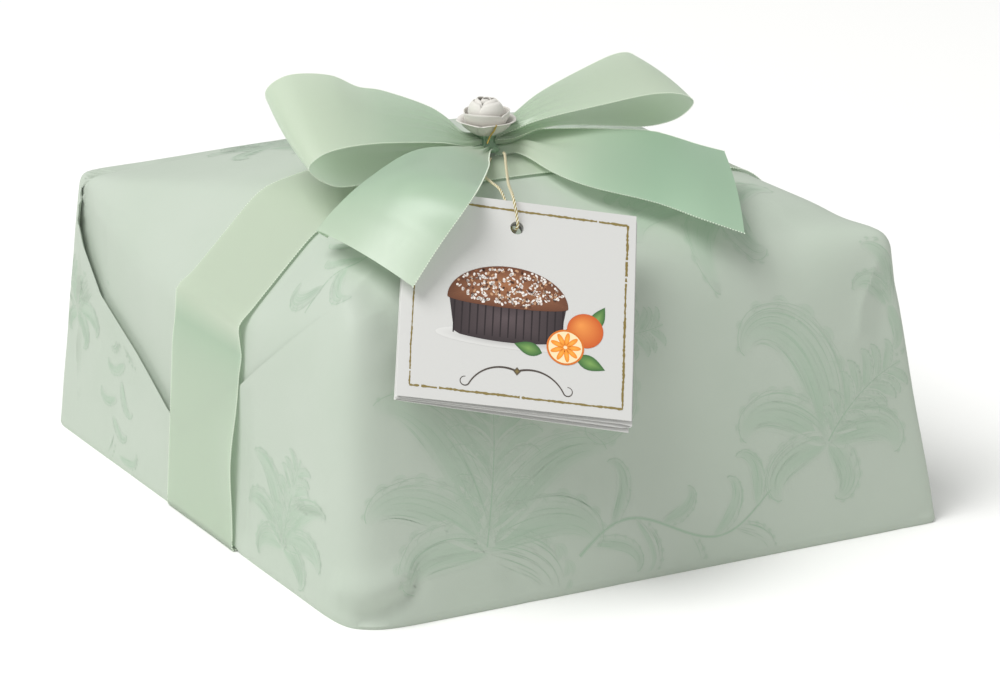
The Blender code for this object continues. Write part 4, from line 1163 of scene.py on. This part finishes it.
# Two oranges, one cut through, with leaves
for root, turn, length in (((17, -14), 0.5, 15), ((24, -20), -0.35, 13),
                           ((10, -20), 2.9, 12), ((30, -8), 1.1, 12)):
    printed_leaf(root, turn, length, 2)
print_fan(oval(27.5, -8.5, 7.6, 7.4), (25.5, -6.0), "#CC5F2C", "#F09A4E", 3)
print_fan(oval(19.5, -16.5, 7.8, 7.6), (19.5, -16.5), "#D9762C", "#D9762C", 4)
print_fan(oval(19.5, -16.5, 7.0, 6.8), (19.5, -16.5), "#F7E3B8", "#F7E3B8", 5)
for n in range(9):
    angle = n * math.tau / 9
    middle = (19.5 + 3.6 * math.cos(angle), -16.5 + 3.5 * math.sin(angle))
    print_fan(oval(*middle, 2.9, 1.05, 14, angle), middle, "#F08A2C", "#F9B24A", 6)
# A plain scrolled rule under the picture
for side in (-1.0, 1.0):
    line, _ = arc((0.0, -29.0), math.pi / 2 - side * 1.15, 23.0, -side * 1.5, 22)
    curl, _ = arc(line[-1], math.atan2(*(line[-1] - line[-2])[::-1]), 8.0, side * 4.2, 18)
    path = np.concatenate([line, curl[1:]])
    for i in range(len(path) - 1):
        ahead = path[i + 1] - path[i]
        across_it = np.array([-ahead[1], ahead[0]]) / np.linalg.norm(ahead) * (0.42 - 0.008 * i)
        quad = [path[i] + across_it, path[i + 1] + across_it, path[i + 1] - across_it, path[i] - across_it]
        print_fan(quad, tuple(np.mean(quad, axis=0)), "#4E463F", "#4E463F", 1)
print_fan([(0, -27.2), (1.5, -29), (0, -30.8), (-1.5, -29)], (0, -29), "#4E463F", "#8A7A48", 2)
picture = add_piece("tag_picture", print_points, print_faces, ink)
mark(picture, "ink", print_dyes, "FLOAT_COLOR")
ride(picture, "printed_card")

# The studio: a pale seamless floor, a wide soft light from the upper left, and white walls all round
bpy.context.scene.view_settings.view_transform = "Standard"
white_floor = finish("matt_white_floor", "#FAFAF8", 0.8)[0]
corners = [(-6.0, -6.0, 0.0), (6.0, -6.0, 0.0), (6.0, 6.0, 0.0), (-6.0, 6.0, 0.0)]
floor = add_piece("studio_floor", corners, [(0, 1, 2, 3)], white_floor)

room = bpy.data.worlds.new("white_studio")
room.use_nodes = True
room.node_tree.nodes["Background"].inputs["Color"].default_value = linear("#FFFFFF")
room.node_tree.nodes["Background"].inputs["Strength"].default_value = 0.56
bpy.context.scene.world = room
# The soft box is 3.2 m wide, of 262 W, and looks at the pack's middle
light = bpy.data.lights.new("soft_box_left", "AREA")
light.size, light.energy = 3.2, 262.0
box = add_object("soft_box_left", light)
box.location = (-3.00, -0.20, 4.95)
box.rotation_euler = (Vector((0.0, 0.0, 0.08)) - box.location).to_track_quat("-Z", "Y").to_euler()
